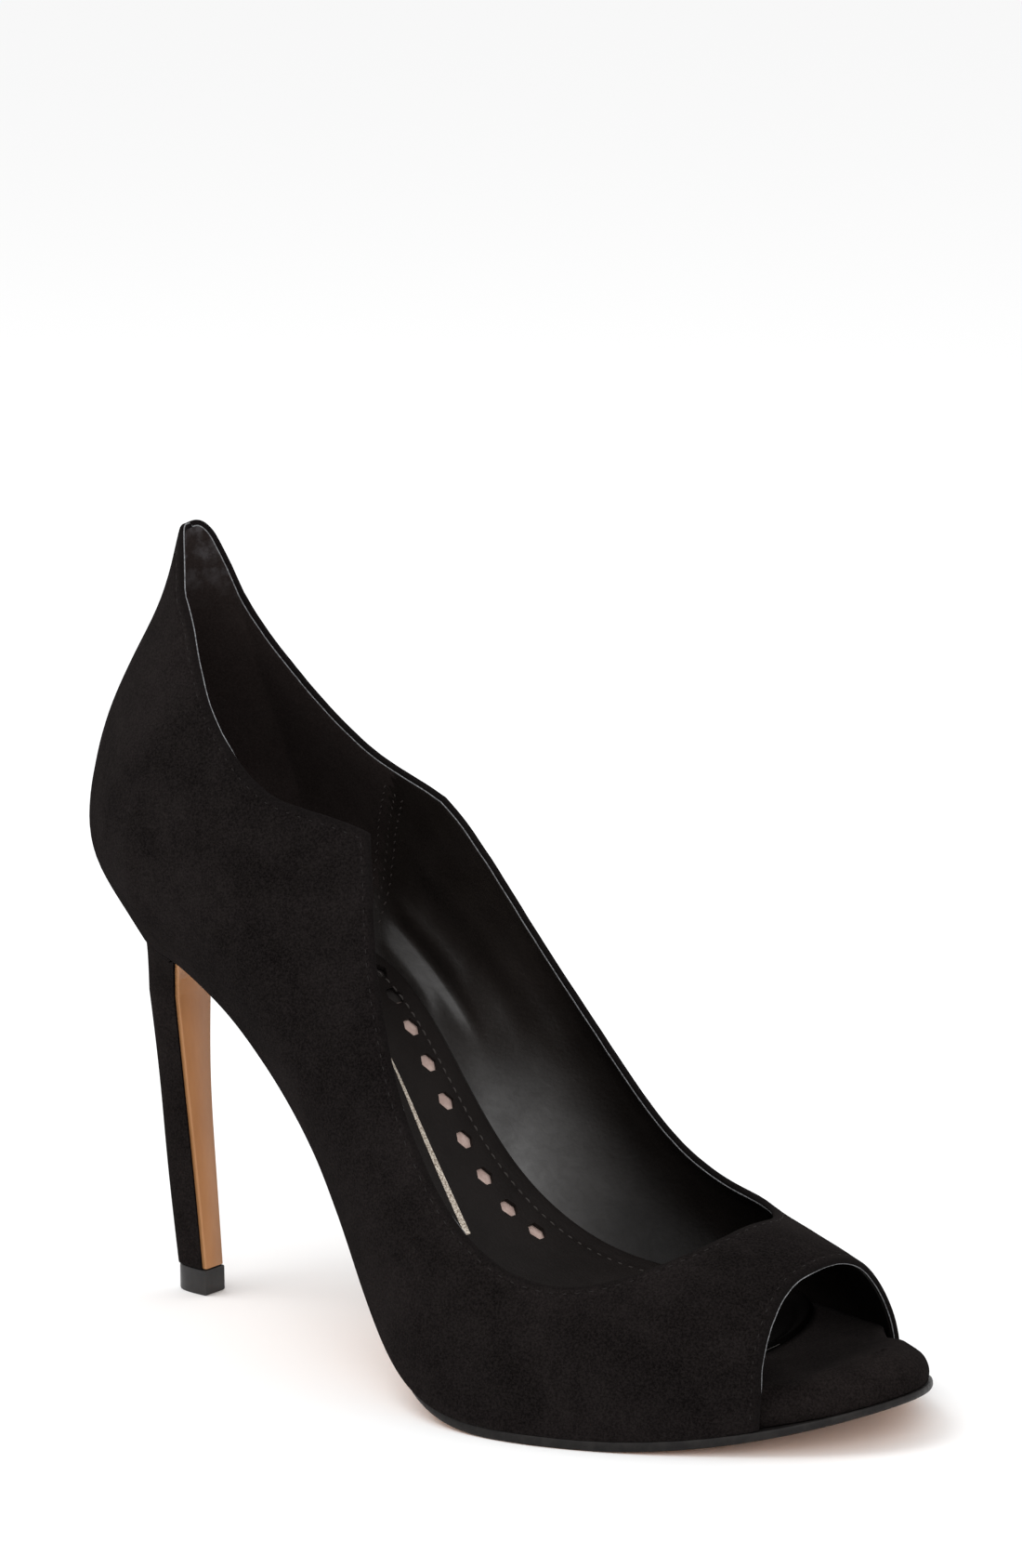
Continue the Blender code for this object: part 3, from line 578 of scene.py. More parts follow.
def seat_ring(front_x):
    """A ring under the back of the upper, open to the breast."""
    s_outer = SIDES["outer"].s_at_x(front_x)
    s_inner = SIDES["inner"].s_at_x(front_x)
    outer = outline_offset("outer", np.linspace(s_outer, 0, ROUND_POINTS // 2 + 1), -0.4)
    inner = outline_offset("inner", np.linspace(0, s_inner, ROUND_POINTS // 2 + 1), -0.4)
    round_back = np.vstack([outer[:-1], inner])
    round_back[ROUND_POINTS // 2] = (SIDES["outer"].points[0, 0] + 0.4, 0.0)
    across = np.linspace(round_back[-1], round_back[0], FRONT_POINTS + 1)[1:-1]
    ring = np.vstack([round_back, across])
    height = outline_z(ring[:, 0]) - FIT_GAP
    # The back of the upper is drawn in at its foot, and so is the seat
    behind = np.minimum(ring[:, 0] - HEEL_AXIS_X, 0.0)
    ring[:, 0] += behind * (back_curve(0.0) - 1)
    return np.c_[ring, height]


def heel_rings():
    """The heel's rings from its tip to the seat."""
    rings = [stem_ring(z) for z in HEEL_RINGS]
    neck = rings[-1]
    seat = seat_ring(HEEL_SEAT_FRONT_X)
    for t in np.linspace(0, 1, HEEL_FLARE_RINGS + 1)[1:]:
        spread = 0.25 * t + 0.75 * t**3
        ring = neck + (seat - neck) * spread
        ring[:, 2] = neck[:, 2] + (seat[:, 2] - neck[:, 2]) * (1 - (1 - t) ** 1.5)
        rings.append(ring)
    return rings


def breast_direction(rings, i):
    """The way that the breast faces at ring i, seen from the side."""
    middle = ROUND_POINTS + FRONT_POINTS // 2
    low = rings[max(i - 1, 0)][middle]
    high = rings[min(i + 1, len(rings) - 1)][middle]
    run_x, run_z = high[0] - low[0], high[2] - low[2]
    return np.array([run_z, 0.0, -run_x]) / math.hypot(run_x, run_z)


# The dressed pieces' own sizes, in millimetres
SUEDE_RIM = 0.72
EDGE_LINE_RADIUS = 0.13
FRONT_LINE_RADIUS = 0.1
# How deep in the wall and how far below the edge the pale line lies. On the outer side of the
# pointed back it comes up to the edge
COLLAR_LINE = (1.52, 1.0)
BACK_LINE = (0.98, 0.02)
BACK_LINE_HEIGHT = (124.0, 134.0)
TOE_LINE = (1.3, 0.34)
TOE_NEAR_LINE = (1.08, 0.03)
LINING_DEPTH = 1.68
LINING_DROP = 1.3
LINING_RIM = 0.22
EDGE_WAVE = 0.16
# Folds and waves fade out within this distance of a free edge
EDGE_CALM = 6.0
LINING_CALM = 7.0
STITCH_INSET = 2.0
# Stitches: how far apart they are, their length and their radius
UPPER_STITCH = (2.9, 1.6, 0.14)
SEAM_STITCH = (2.1, 1.3, 0.17)
SOCK_STITCH = (2.5, 1.7, 0.22)
# The rows of stitches along the seam of the linings: place ahead of it, and turn in degrees
SEAM_ROWS = ((-1.4, -20), (0.9, 25), (2.6, -20))
SOCK_STITCH_INSET = 5.7
# The sock's raised margin, stitched groove and rounded edge: place in from the edge, half-width
# and height
SOCK_RELIEF = ((2.0, 1.5, 0.22), (SOCK_STITCH_INSET, 0.7, -0.30), (0.0, 0.7, -0.9))
SOCK_COLUMNS = 61
SOCK_HOLE_WIDTH = 4.3
# How far the posts that cut the holes reach below and above the sock's top
HOLE_REACH = (-2.6, 1.6)
# Behind this x the board under the cut-outs is painted dark, as painted shade of the near wall over the
# first cut-outs
BOARD_PAINTED_SHADE_X = 44.6
# The cut-outs' row on the sock's top, seen from above
HOLE_ROW = ((38.0, 19.9), (51.1, 16.4), (63.4, 13.1), (75.0, 11.1), (80.9, 11.5), (87.1, 14.2))

# Where a painted sheen lies on the leather lining: height above the sock, and place along the foot
PAINTED_SHEEN_HEIGHT = 38.0
PAINTED_SHEEN_X = 59.0
PAINTED_SHEEN_REACH = 20.0
# Painted shade, which darkens and dulls the leather towards the toe: from and to this x, and what stays
# there
LINING_PAINTED_SHADE = (79.0, 104.0, 0.36)
SOCK_PAINTED_SHADE = (118.0, 146.0, 0.16)

# The seam between the suede lining and the leather lining: length and share on each side
LINING_SEAM = {
    "inner": ((66.0, 53.5), (62.5, 46.0), (57.6, 35.0), (54.4, 25.0), (52.2, 14.0), (51.0, 3.0)),
    "outer": ((71.0, 57.0), (66.0, 46.0), (61.0, 35.0), (58.0, 25.0), (56.0, 14.0), (55.0, 3.0)),
}

# Pale dust lies on the lining of the pointed back, from and to these heights
DUST_HEIGHT = (156.0, 172.0)

# A share of the section is about this long
SHARE_MM = 1.2
# Soft folds: side, first length and share, last length and share, half-width, height. Below
# zero is a trough
SUEDE_FOLDS = (
    ("outer", 92.0, 62.0, 88.0, 12.0, 7.0, -0.35),
    ("outer", 74.0, 50.0, 66.0, 8.0, 9.0, 0.3),
    ("outer", 128.0, 40.0, 150.0, 12.0, 8.0, -0.3),
    ("outer", 176.0, 30.0, 186.0, 60.0, 6.0, 0.25),
    ("inner", 90.0, 50.0, 84.0, 10.0, 8.0, -0.35),
    ("inner", 126.0, 38.0, 146.0, 12.0, 8.0, -0.3),
    ("inner", 172.0, 30.0, 184.0, 62.0, 6.0, 0.25),
)
LEATHER_FOLDS = (
    ("inner", 54.0, 12.5, 86.0, 18.5, 2.1, 0.85),
    ("inner", 56.0, 17.5, 81.0, 23.0, 2.4, -0.6),
    ("inner", 60.0, 25.0, 96.0, 31.0, 4.4, 0.5),
    ("inner", 60.0, 34.0, 108.0, 38.0, 4.8, -0.4),
    ("inner", 54.0, 7.5, 74.0, 10.0, 2.4, -0.5),
    ("outer", 68.0, 22.0, 94.0, 26.0, 3.4, 0.6),
    ("outer", 66.0, 32.0, 104.0, 36.0, 3.6, -0.6),
)


def surface_mesh(name, points, faces, values=None):
    """A mesh of points in millimetres, welded where they meet, with a value for each point."""
    work = bmesh.new()
    layer = work.verts.layers.float.new("edge_mm")
    made = []
    for i, p in enumerate(np.asarray(points) * MM):
        vert = work.verts.new(p)
        vert[layer] = 50.0 if values is None else float(values[i])
        made.append(vert)
    for face in faces:
        loop = list(dict.fromkeys(face))
        if len(loop) > 2:
            work.faces.new([made[k] for k in loop])
    bmesh.ops.remove_doubles(work, verts=work.verts, dist=0.01 * MM)
    bmesh.ops.recalc_face_normals(work, faces=work.faces)
    mesh = bpy.data.meshes.new(name)
    work.to_mesh(mesh)
    work.free()
    return mesh


def add_piece(name, mesh, materials, stands_for=(), sharp=None):
    """One piece of the dressed shoe, riding on the shoe's only body."""
    piece = bpy.data.objects.new(name, mesh)
    bpy.context.scene.collection.objects.link(piece)
    for material in materials:
        mesh.materials.append(material)
    mesh.shade_smooth()
    if sharp is not None:
        mesh.set_sharp_from_angle(angle=math.radians(sharp))
    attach(piece, "root")
    if stands_for:
        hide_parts(*stands_for)
    return piece


def apply_modifiers(piece):
    """Keeps the piece's final mesh in place of its modifiers."""
    graph = bpy.context.evaluated_depsgraph_get()
    mesh = bpy.data.meshes.new_from_object(piece.evaluated_get(graph))
    piece.modifiers.clear()
    piece.data = mesh


# Materials


class Shader:
    """A material's nodes, made one after another."""

    def __init__(self, name):
        self.material = bpy.data.materials.new(name)
        self.material.use_nodes = True
        self.nodes = self.material.node_tree.nodes
        self.links = self.material.node_tree.links
        self.surface = self.nodes["Principled BSDF"]
        self.place = self.nodes.new("ShaderNodeTexCoord").outputs["Object"]

    def link(self, output, target):
        self.links.new(output, target)
        return output

    def noise(self, scale, detail=3.0, rough=0.55, stretch=None, distortion=0.0):
        node = self.nodes.new("ShaderNodeTexNoise")
        node.inputs["Scale"].default_value = scale
        node.inputs["Detail"].default_value = detail
        node.inputs["Roughness"].default_value = rough
        node.inputs["Distortion"].default_value = distortion
        self.link(self.stretched(stretch), node.inputs["Vector"])
        return node.outputs["Fac"]

    def cells(self, scale, feature="F1", output="Distance"):
        node = self.nodes.new("ShaderNodeTexVoronoi")
        node.feature = feature
        node.inputs["Scale"].default_value = scale
        self.link(self.place, node.inputs["Vector"])
        return node.outputs[output]

    def coordinate(self, axis):
        """How far along X, Y or Z a place on the shoe lies, in metres."""
        node = self.nodes.new("ShaderNodeSeparateXYZ")
        self.link(self.place, node.inputs[0])
        return node.outputs[axis]

    def stretched(self, stretch):
        if stretch is None:
            return self.place
        node = self.nodes.new("ShaderNodeMapping")
        node.inputs["Scale"].default_value = stretch
        self.link(self.place, node.inputs["Vector"])
        return node.outputs["Vector"]

    def math(self, kind, a, b=None):
        node = self.nodes.new("ShaderNodeMath")
        node.operation = kind
        for socket, value in zip(node.inputs, (a, b)):
            if value is None:
                continue
            if isinstance(value, (int, float)):
                socket.default_value = value
            else:
                self.link(value, socket)
        return node.outputs[0]

    def ramp(self, value, low, high, start=0.0, end=1.0):
        node = self.nodes.new("ShaderNodeMapRange")
        node.interpolation_type = "SMOOTHSTEP"
        self.link(value, node.inputs["Value"])
        for name, number in (("From Min", low), ("From Max", high), ("To Min", start), ("To Max", end)):
            node.inputs[name].default_value = number
        return node.outputs["Result"]

    def mix(self, factor, a, b):
        node = self.nodes.new("ShaderNodeMix")
        node.data_type = "RGBA"
        self.link(factor, node.inputs["Factor"])
        for socket, value in ((node.inputs[6], a), (node.inputs[7], b)):
            if isinstance(value, tuple):
                socket.default_value = (*value, 1.0)
            else:
                self.link(value, socket)
        return node.outputs[2]

    def attribute(self, name):
        node = self.nodes.new("ShaderNodeAttribute")
        node.attribute_name = name
        return node.outputs["Fac"]

    def bump(self, height, strength, distance, under=None):
        node = self.nodes.new("ShaderNodeBump")
        node.inputs["Strength"].default_value = strength
        node.inputs["Distance"].default_value = distance
        self.link(height, node.inputs["Height"])
        if under is not None:
            self.link(under, node.inputs["Normal"])
        return node.outputs["Normal"]

    def finish(self, color=None, roughness=None, normal=None, **values):
        if color is not None:
            self.link(color, self.surface.inputs["Base Color"])
        if roughness is not None:
            self.link(roughness, self.surface.inputs["Roughness"])
        if normal is not None:
            self.link(normal, self.surface.inputs["Normal"])
        for name, value in values.items():
            self.surface.inputs[name.replace("_", " ")].default_value = value
        return self.material


def suede(name, dark, light, rim=None, groove=True, dust=None):
    """Napped leather: a fine speckle, brushed patches and, near a cut edge, a paler rim."""
    shader = Shader(name)
    patches = shader.ramp(shader.noise(34.0, 4.0, 0.6, distortion=0.6), 0.35, 0.68)
    marks = shader.ramp(shader.noise(170.0, 4.0, 0.65), 0.35, 0.7)
    speckle = shader.noise(2000.0, 3.0, 0.75)
    mixed = shader.math("MULTIPLY", patches, 0.3)
    mixed = shader.math("ADD", mixed, shader.math("MULTIPLY", marks, 0.12))
    mixed = shader.math("ADD", mixed, shader.math("MULTIPLY", shader.ramp(speckle, 0.32, 0.7), 0.58))
    color = shader.mix(mixed, dark, light)
    nap = shader.noise(3400.0, 3.0, 0.75)
    normal = shader.bump(nap, 0.55, 0.00025)
    normal = shader.bump(shader.noise(420.0, 3.0, 0.6), 0.25, 0.0005, normal)
    if rim is not None:
        edge = shader.attribute("edge_mm")
        color = shader.mix(shader.ramp(edge, 0.1, 1.2, 0.55, 0.0), color, rim)
    if dust is not None:
        high = shader.ramp(shader.coordinate(2), DUST_HEIGHT[0] * MM, DUST_HEIGHT[1] * MM)
        patchy = shader.ramp(shader.noise(260.0, 4.0, 0.65), 0.4, 0.7)
        color = shader.mix(shader.math("MULTIPLY", high, patchy), color, dust)
    if groove:
        edge = shader.attribute("edge_mm")
        away = shader.math("DIVIDE", shader.math("SUBTRACT", edge, STITCH_INSET), 0.5)
        dip = shader.math("MULTIPLY", shader.math("MULTIPLY", away, away), -1.0)
        dip = shader.math("POWER", 2.718, dip)
        normal = shader.bump(shader.math("MULTIPLY", dip, -1.0), 0.6, 0.0003, normal)
    return shader.finish(
        color, None, normal, Roughness=0.95, Specular_IOR_Level=0.0,
        Sheen_Weight=0.012, Sheen_Roughness=0.5, Sheen_Tint=(1.0, 0.93, 0.9, 1.0),
    )


def smooth_leather(name, dark, light, roughness, shade, grain=0.35, spec=0.45, painted_sheen=False):
    """Finished leather with a fine pebble grain and slow changes of gloss, painted shade towards the
    toe and, where painted_sheen is set, a painted sheen.
    """
    shader = Shader(name)
    tone = shader.ramp(shader.noise(60.0, 4.0, 0.6), 0.3, 0.75)
    color = shader.mix(tone, dark, light)
    pebbles = shader.cells(1250.0, "SMOOTH_F1")
    pores = shader.noise(2600.0, 2.0, 0.6)
    wrinkles = shader.noise(240.0, 5.0, 0.62, (1.0, 2.2, 1.6), 0.8)
    normal = shader.bump(pebbles, grain, 0.00018)
    normal = shader.bump(pores, grain * 0.6, 0.0001, normal)
    normal = shader.bump(wrinkles, grain * 0.6, 0.0006, normal)
    gloss = shader.ramp(shader.noise(130.0, 4.0, 0.6), 0.3, 0.75, roughness - 0.05, roughness + 0.07)
    if painted_sheen:
        # Painted sheen: a glossy coat near the sock, fading towards the collar
        uneven = shader.ramp(wrinkles, 0.2, 0.8, 0.75, 1.1)
        sheen_coat = shader.math("MULTIPLY", shader.attribute("painted_sheen"), uneven)
        shader.link(sheen_coat, shader.surface.inputs["Coat Weight"])
        shader.surface.inputs["Coat Roughness"].default_value = 0.32
        shader.surface.inputs["Coat IOR"].default_value = 1.8
    # Painted shade: darker and duller towards the toe, read from the place along the foot
    light_here = shader.ramp(shader.attribute("along"), shade[0], shade[1], 1.0, shade[2])
    color = shader.mix(light_here, (0.0, 0.0, 0.0), color)
    shader.link(shader.math("MULTIPLY", light_here, spec), shader.surface.inputs["Specular IOR Level"])
    return shader.finish(color, gloss, normal)


def thread(name, color):
    """Twisted thread."""
    shader = Shader(name)
    twist = shader.noise(2200.0, 2.0, 0.6, (1.0, 0.4, 0.4))
    normal = shader.bump(twist, 0.5, 0.0001)
    tone = shader.mix(twist, tuple(0.6 * c for c in color), tuple(1.4 * c for c in color))
    return shader.finish(tone, None, normal, Roughness=0.7, Specular_IOR_Level=0.12)


def cut_edge(name, dark, light):
    """The raw edge of leather, fibrous and paler than its face."""
    shader = Shader(name)
    fibres = shader.noise(1500.0, 3.0, 0.7)
    color = shader.mix(shader.ramp(fibres, 0.3, 0.7), dark, light)
    normal = shader.bump(fibres, 0.5, 0.0002)
    return shader.finish(color, None, normal, Roughness=0.85, Specular_IOR_Level=0.2)


def glitter(name):
    """Champagne flakes of many tilts."""
    shader = Shader(name)
    flakes = shader.cells(2100.0, output="Color")
    shade = shader.ramp(shader.noise(2600.0, 1.0, 0.5), 0.3, 0.7)
    color = shader.mix(shade, (0.34, 0.27, 0.21), (0.95, 0.86, 0.74))
    tilt = shader.nodes.new("ShaderNodeSeparateColor")
    shader.link(flakes, tilt.inputs[0])
    normal = shader.bump(tilt.outputs[0], 0.6, 0.00035)
    return shader.finish(color, None, normal, Metallic=0.6, Roughness=0.38)


def tan_leather(name):
    """The heel breast's and the sole's plain leather: even, slightly mottled and satin."""
    shader = Shader(name)
    tone = shader.ramp(shader.noise(110.0, 4.0, 0.6, (1.0, 1.0, 0.35)), 0.3, 0.75)
    color = shader.mix(tone, (0.36, 0.165, 0.062), (0.44, 0.215, 0.09))
    fine = shader.noise(1900.0, 3.0, 0.6)
    normal = shader.bump(fine, 0.2, 0.00012)
    normal = shader.bump(shader.noise(160.0, 3.0, 0.6, (1.0, 1.0, 0.3)), 0.2, 0.0004, normal)
    return shader.finish(color, None, normal, Roughness=0.48, Specular_IOR_Level=0.4)


def board_leather(name):
    """The rose-beige board under the cut-outs, with painted shade behind the first ones."""
    shader = Shader(name)
    tone = shader.ramp(shader.noise(500.0, 3.0, 0.6), 0.3, 0.75)
    color = shader.mix(tone, (0.44, 0.31, 0.27), (0.58, 0.44, 0.39))
    # Painted shade: the board goes dark behind this x
    shaded = shader.ramp(
        shader.coordinate(0), (BOARD_PAINTED_SHADE_X - 0.3) * MM, (BOARD_PAINTED_SHADE_X + 0.3) * MM
    )
    color = shader.mix(shaded, (0.012, 0.009, 0.008), color)
    normal = shader.bump(shader.noise(1800.0, 2.0, 0.6), 0.3, 0.00015)
    return shader.finish(color, None, normal, Roughness=0.6)


def hard_black(name, roughness, coat, spec):
    """Moulded or painted black: nearly even, with faint scuffs."""
    shader = Shader(name)
    tone = shader.ramp(shader.noise(300.0, 4.0, 0.65), 0.35, 0.75)
    color = shader.mix(tone, (0.008, 0.007, 0.007), (0.017, 0.015, 0.014))
    scuffs = shader.noise(900.0, 4.0, 0.7, (1.0, 1.0, 0.25))
    normal = shader.bump(scuffs, 0.12, 0.0001)
    gloss = shader.ramp(scuffs, 0.35, 0.75, roughness - 0.06, roughness + 0.1)
    return shader.finish(
        color, gloss, normal, Coat_Weight=coat, Coat_Roughness=0.12, Specular_IOR_Level=spec
    )


# The darkest and the lightest tone of each leather come first
SUEDE_BLACK = suede(
    "suede_black", (0.0026, 0.0021, 0.0021), (0.0166, 0.0137, 0.0133), rim=(0.0062, 0.0053, 0.0052)
)
SUEDE_PLAIN = suede("suede_plain", (0.0032, 0.0026, 0.0025), (0.0176, 0.0142, 0.0136), groove=False)
SUEDE_LINING = suede(
    "suede_lining", (0.0150, 0.0112, 0.0104), (0.0285, 0.0222, 0.0208),
    groove=False, dust=(0.055, 0.050, 0.052),
)
LEATHER_LINING = smooth_leather(
    "leather_lining", (0.0100, 0.0076, 0.0066), (0.0150, 0.0118, 0.0104),
    roughness=0.5, shade=LINING_PAINTED_SHADE, spec=0.16, painted_sheen=True,
)
SOCK_LEATHER = smooth_leather(
    "sock_leather", (0.0085, 0.0066, 0.0060), (0.0130, 0.0104, 0.0096),
    roughness=0.55, shade=SOCK_PAINTED_SHADE, grain=0.25, spec=0.12,
)
THREAD_BLACK = thread("thread_black", (0.0140, 0.0118, 0.0114))
THREAD_SOCK = thread("thread_sock", (0.052, 0.046, 0.043))
THREAD_SEAM = thread("thread_seam", (0.040, 0.033, 0.031))
THREAD_FRONT = thread("thread_front", (0.055, 0.050, 0.047))
EDGE_PALE = cut_edge("cut_edge_pale", (0.11, 0.11, 0.115), (0.27, 0.275, 0.285))
GLITTER = glitter("glitter")
TAN = tan_leather("tan_leather")
BOARD = board_leather("board_leather")
SOLE_EDGE = hard_black("sole_edge_black", 0.5, 0.0, 0.15)
TOP_PIECE = hard_black("top_piece_black", 0.42, 0.0, 0.35)


# The upper


def ridge(distance, half_width, height):
    """The height of a rounded ridge at this distance from its middle."""
    return height * np.exp(-((distance / half_width) ** 2))


def fold_height(rows, side, s, share):
    """The height of the soft folds at each place of a side."""
    out = np.zeros(np.broadcast(s, share).shape)
    for row_side, s0, q0, s1, q1, half, height in rows:
        if row_side != side:
            continue
        start, end = np.array([s0, q0 * SHARE_MM]), np.array([s1, q1 * SHARE_MM])
        line = end - start
        reach = line @ line
        t = ((s - start[0]) * line[0] + (share * SHARE_MM - start[1]) * line[1]) / reach
        near = np.clip(t, 0, 1)
        off = np.hypot(s - start[0] - near * line[0], share * SHARE_MM - start[1] - near * line[1])
        fade = np.clip(np.minimum(near, 1 - near) * 4, 0, 1)
        out += ridge(off, half, height) * fade * fade * (3 - 2 * fade)
    return out


def soft_noise(points, size, seed):
    """Smooth noise of about -1 to 1 at points in millimetres."""
    flat = points.reshape(-1, 3) / size + seed
    values = [noise.noise(Vector(p)) for p in flat]
    return np.array(values).reshape(points.shape[:-1])


class Wall:
    """One side of the upper as fine grids: columns from heel to toe, rows from sole to edge."""

    def __init__(self, side):
        grid = wall_grid(side)
        self.side = side
        self.s, self.share = grid[..., 0], grid[..., 1]
        self.points = last_point(side, self.s, self.share)
        self.normals = last_normal(side, self.s, self.share)
        # On the middle of the vamp the two sides share one direction
        flat = self.share > 99.9
        self.normals[flat, 1] = 0.0
        self.normals /= np.linalg.norm(self.normals, axis=-1, keepdims=True)


WALLS = {side: Wall(side) for side in SIDES}
COLLAR_END = COLLAR_BACK_COLUMNS + COLLAR_FRONT_COLUMNS


class Edge:
    """A free edge of the upper as a line: its points, outward normals and the way off the edge."""

    def __init__(self, points, normals, inner, closed):
        self.points, self.normals, self.closed = points, normals, closed
        if closed:
            ahead = np.roll(points, -1, 0) - np.roll(points, 1, 0)
        else:
            ahead = np.gradient(points, axis=0)
        ahead /= np.linalg.norm(ahead, axis=1, keepdims=True)
        off = np.cross(normals, ahead)
        away = np.einsum("ij,ij->i", off, points - inner)
        off *= np.where(away < 0, -1.0, 1.0)[:, None]
        self.off = off / np.linalg.norm(off, axis=1, keepdims=True)
        # A cut edge is never quite straight
        long_wave, short_wave = soft_noise(points, 7.0, 5.0), soft_noise(points, 2.5, 8.0)
        self.wave = EDGE_WAVE * long_wave + 0.4 * EDGE_WAVE * short_wave

    def at(self, depth, drop):
        """The line this deep into the wall and this far below the edge."""
        lower = (drop + self.wave)[:, None]
        return self.points - depth * self.normals - lower * self.off


def collar_lines(wall):
    """The collar on one side: its points, their normals and the points one row below."""
    columns = slice(0, COLLAR_END + 1)
    return wall.points[columns, -1], wall.normals[columns, -1], wall.points[columns, -2]


def toe_lines(wall):
    """The toe opening's edge on one side, in the same way."""
    return wall.points[-1], wall.normals[-1], wall.points[-2]


def free_edge(lines, closed):
    """The edge that runs along the outer side and back along the inner side."""
    outer, inner = lines(WALLS["outer"]), lines(WALLS["inner"])
    last = -1 if closed else None
    return Edge(*[np.vstack([a, b[::-1][1:last]]) for a, b in zip(outer, inner)], closed)


COLLAR_EDGE = free_edge(collar_lines, closed=True)
TOE_EDGE = free_edge(toe_lines, closed=False)
EDGES = (COLLAR_EDGE, TOE_EDGE)


def nearest_edge(points):
    """The distance of each point from the nearer free edge, and that edge's way off and wave."""
    flat = points.reshape(-1, 3)
    best, wave = np.full(len(flat), 99.0), np.zeros(len(flat))
    off = np.zeros((len(flat), 3))
    for edge in EDGES:
        for k in range(0, len(edge.points), 40):
            gaps = np.linalg.norm(flat[:, None] - edge.points[None, k : k + 40], axis=-1)
            pick = gaps.argmin(1)
            near = gaps[np.arange(len(flat)), pick]
            closer = near < best
            best[closer] = near[closer]
            off[closer] = edge.off[k + pick[closer]]
            wave[closer] = edge.wave[k + pick[closer]]
    shape = points.shape[:-1]
    return best.reshape(shape), off.reshape(points.shape), wave.reshape(shape)


def drawn_in(points, drop):
    """How far each point goes so that a free edge ends this much lower, and its distance."""
    far, off, wave = nearest_edge(points)
    amount = (drop + wave) * np.clip(1 - far / EDGE_CALM, 0, 1)
    return -amount[..., None] * off, far


def ring_faces(first, count, per, closed):
    """Quads between count stations of per points each."""
    faces = []
    for i in range(count if closed else count - 1):
        a, b = first + i * per, first + (i + 1) % count * per
        faces += [(a + k, b + k, b + k + 1, a + k + 1) for k in range(per - 1)]
    return faces


def rim_strip(edge, sections, points, faces, values, distance):
    """Adds a strip along an edge: sections lists the depth and drop of its lines."""
    first = len(points)
    lines = np.stack([edge.at(depth, drop) for depth, drop in sections], 1)
    points += list(lines.reshape(-1, 3))
    values += [distance] * lines.shape[0] * lines.shape[1]
    faces += ring_faces(first, lines.shape[0], lines.shape[1], edge.closed)


def round_over(radius, depth, drop, start, end, steps):
    """The depth and drop along an arc about a centre, from start to end degrees."""
    turns = np.radians(np.linspace(start, end, steps))
    return [(depth - radius * math.cos(t), drop - radius * math.sin(t)) for t in turns]


def make_suede_upper():
    """The suede: the outside of both sides, rolled over at the collar and the toe opening."""
    points, faces, values = [], [], []
    for side, wall in WALLS.items():
        raised = fold_height(SUEDE_FOLDS, side, wall.s, wall.share)
        raised += 0.12 * soft_noise(wall.points, 16.0, 3.0)
        lower, far = drawn_in(wall.points, SUEDE_RIM)
        calm = np.clip(far / EDGE_CALM, 0, 1)
        points_here = wall.points + (raised * calm)[..., None] * wall.normals + lower
        columns, rows = points_here.shape[:2]
        faces += grid_faces(len(points), columns, rows, flip=side == "inner")
        points += list(points_here.reshape(-1, 3))
        values += list(far.ravel())
    for edge in EDGES:
        sections = round_over(SUEDE_RIM, SUEDE_RIM, SUEDE_RIM, 0, 180, 9)
        sections.append((2 * SUEDE_RIM, SUEDE_RIM + 0.9))
        rim_strip(edge, sections, points, faces, values, 0.0)
    mesh = surface_mesh("upper_suede", points, faces, values)
    return add_piece("upper_suede", mesh, [SUEDE_BLACK], ["upper"])


def seam_lengths(side, share):
    """Where the seam between the linings lies along the outline, at each share."""
    rows = sorted(LINING_SEAM[side], key=lambda row: row[1])
    return np.interp(share, [q for _, q in rows], [s for s, _ in rows])


def ahead_of_seam(side):
    """How far ahead of the seam between the linings each point of the wall lies."""
    return WALLS[side].s - seam_lengths(side, WALLS[side].share)


def make_linings():
    """The suede lining of the back and the smooth leather lining ahead of the seam."""
    points, faces, leather = [], [], []
    for side, wall in WALLS.items():
        folds = fold_height(LEATHER_FOLDS, side, wall.s, wall.share)
        lower, far = drawn_in(wall.points, LINING_DROP)
        calm = np.clip(far / LINING_CALM, 0, 1)
        past_seam = ahead_of_seam(side)
        ahead = np.clip(past_seam / 6.0, 0, 1)
        soft = 0.18 * soft_noise(wall.points, 9.0, 7.0) * ahead * calm
        # The suede lining lies over the leather, and ends at the seam in a step
        step = 0.35 * np.clip(1.0 - past_seam / 1.2, 0, 1)
        depth = LINING_DEPTH + step * calm - folds * calm * ahead + soft
        grid = wall.points - depth[..., None] * wall.normals + lower
        columns, rows = grid.shape[:2]
        faces += grid_faces(len(points), columns, rows, flip=side == "outer")
        points += list(grid.reshape(-1, 3))
        middle_s = (wall.s[:-1, :-1] + wall.s[1:, 1:]) / 2
        middle_q = (wall.share[:-1, :-1] + wall.share[1:, 1:]) / 2
        leather += list((middle_s > seam_lengths(side, middle_q)).ravel())
    outer_s, inner_s = [ahead_of_seam(side)[: COLLAR_END + 1, -1] for side in ("outer", "inner")]
    collar_s = np.r_[outer_s, inner_s[::-1][1:-1]]
    values = [50.0] * len(points)
    for edge in EDGES:
        sections = round_over(LINING_RIM, LINING_DEPTH - LINING_RIM, LINING_DROP, 180, 20, 6)
        before = len(faces)
        rim_strip(edge, sections, points, faces, values, 50.0)
        per_station = len(sections) - 1
        for k in range((len(faces) - before) // per_station):
            is_leather = edge is TOE_EDGE or bool(collar_s[k] > 0)
            leather += [is_leather] * per_station
    for name, wanted, material in (
        ("lining_leather", True, LEATHER_LINING),
        ("lining_suede", False, SUEDE_LINING),
    ):
        some = [face for face, keep in zip(faces, leather) if bool(keep) == wanted]
        used = sorted({k for face in some for k in face})
        number = {k: i for i, k in enumerate(used)}
        own_faces = [tuple(number[k] for k in face) for face in some]
        mesh = surface_mesh(name, [points[k] for k in used], own_faces)
        add_piece(name, mesh, [material])
        if wanted:
            add_painted_light(mesh)


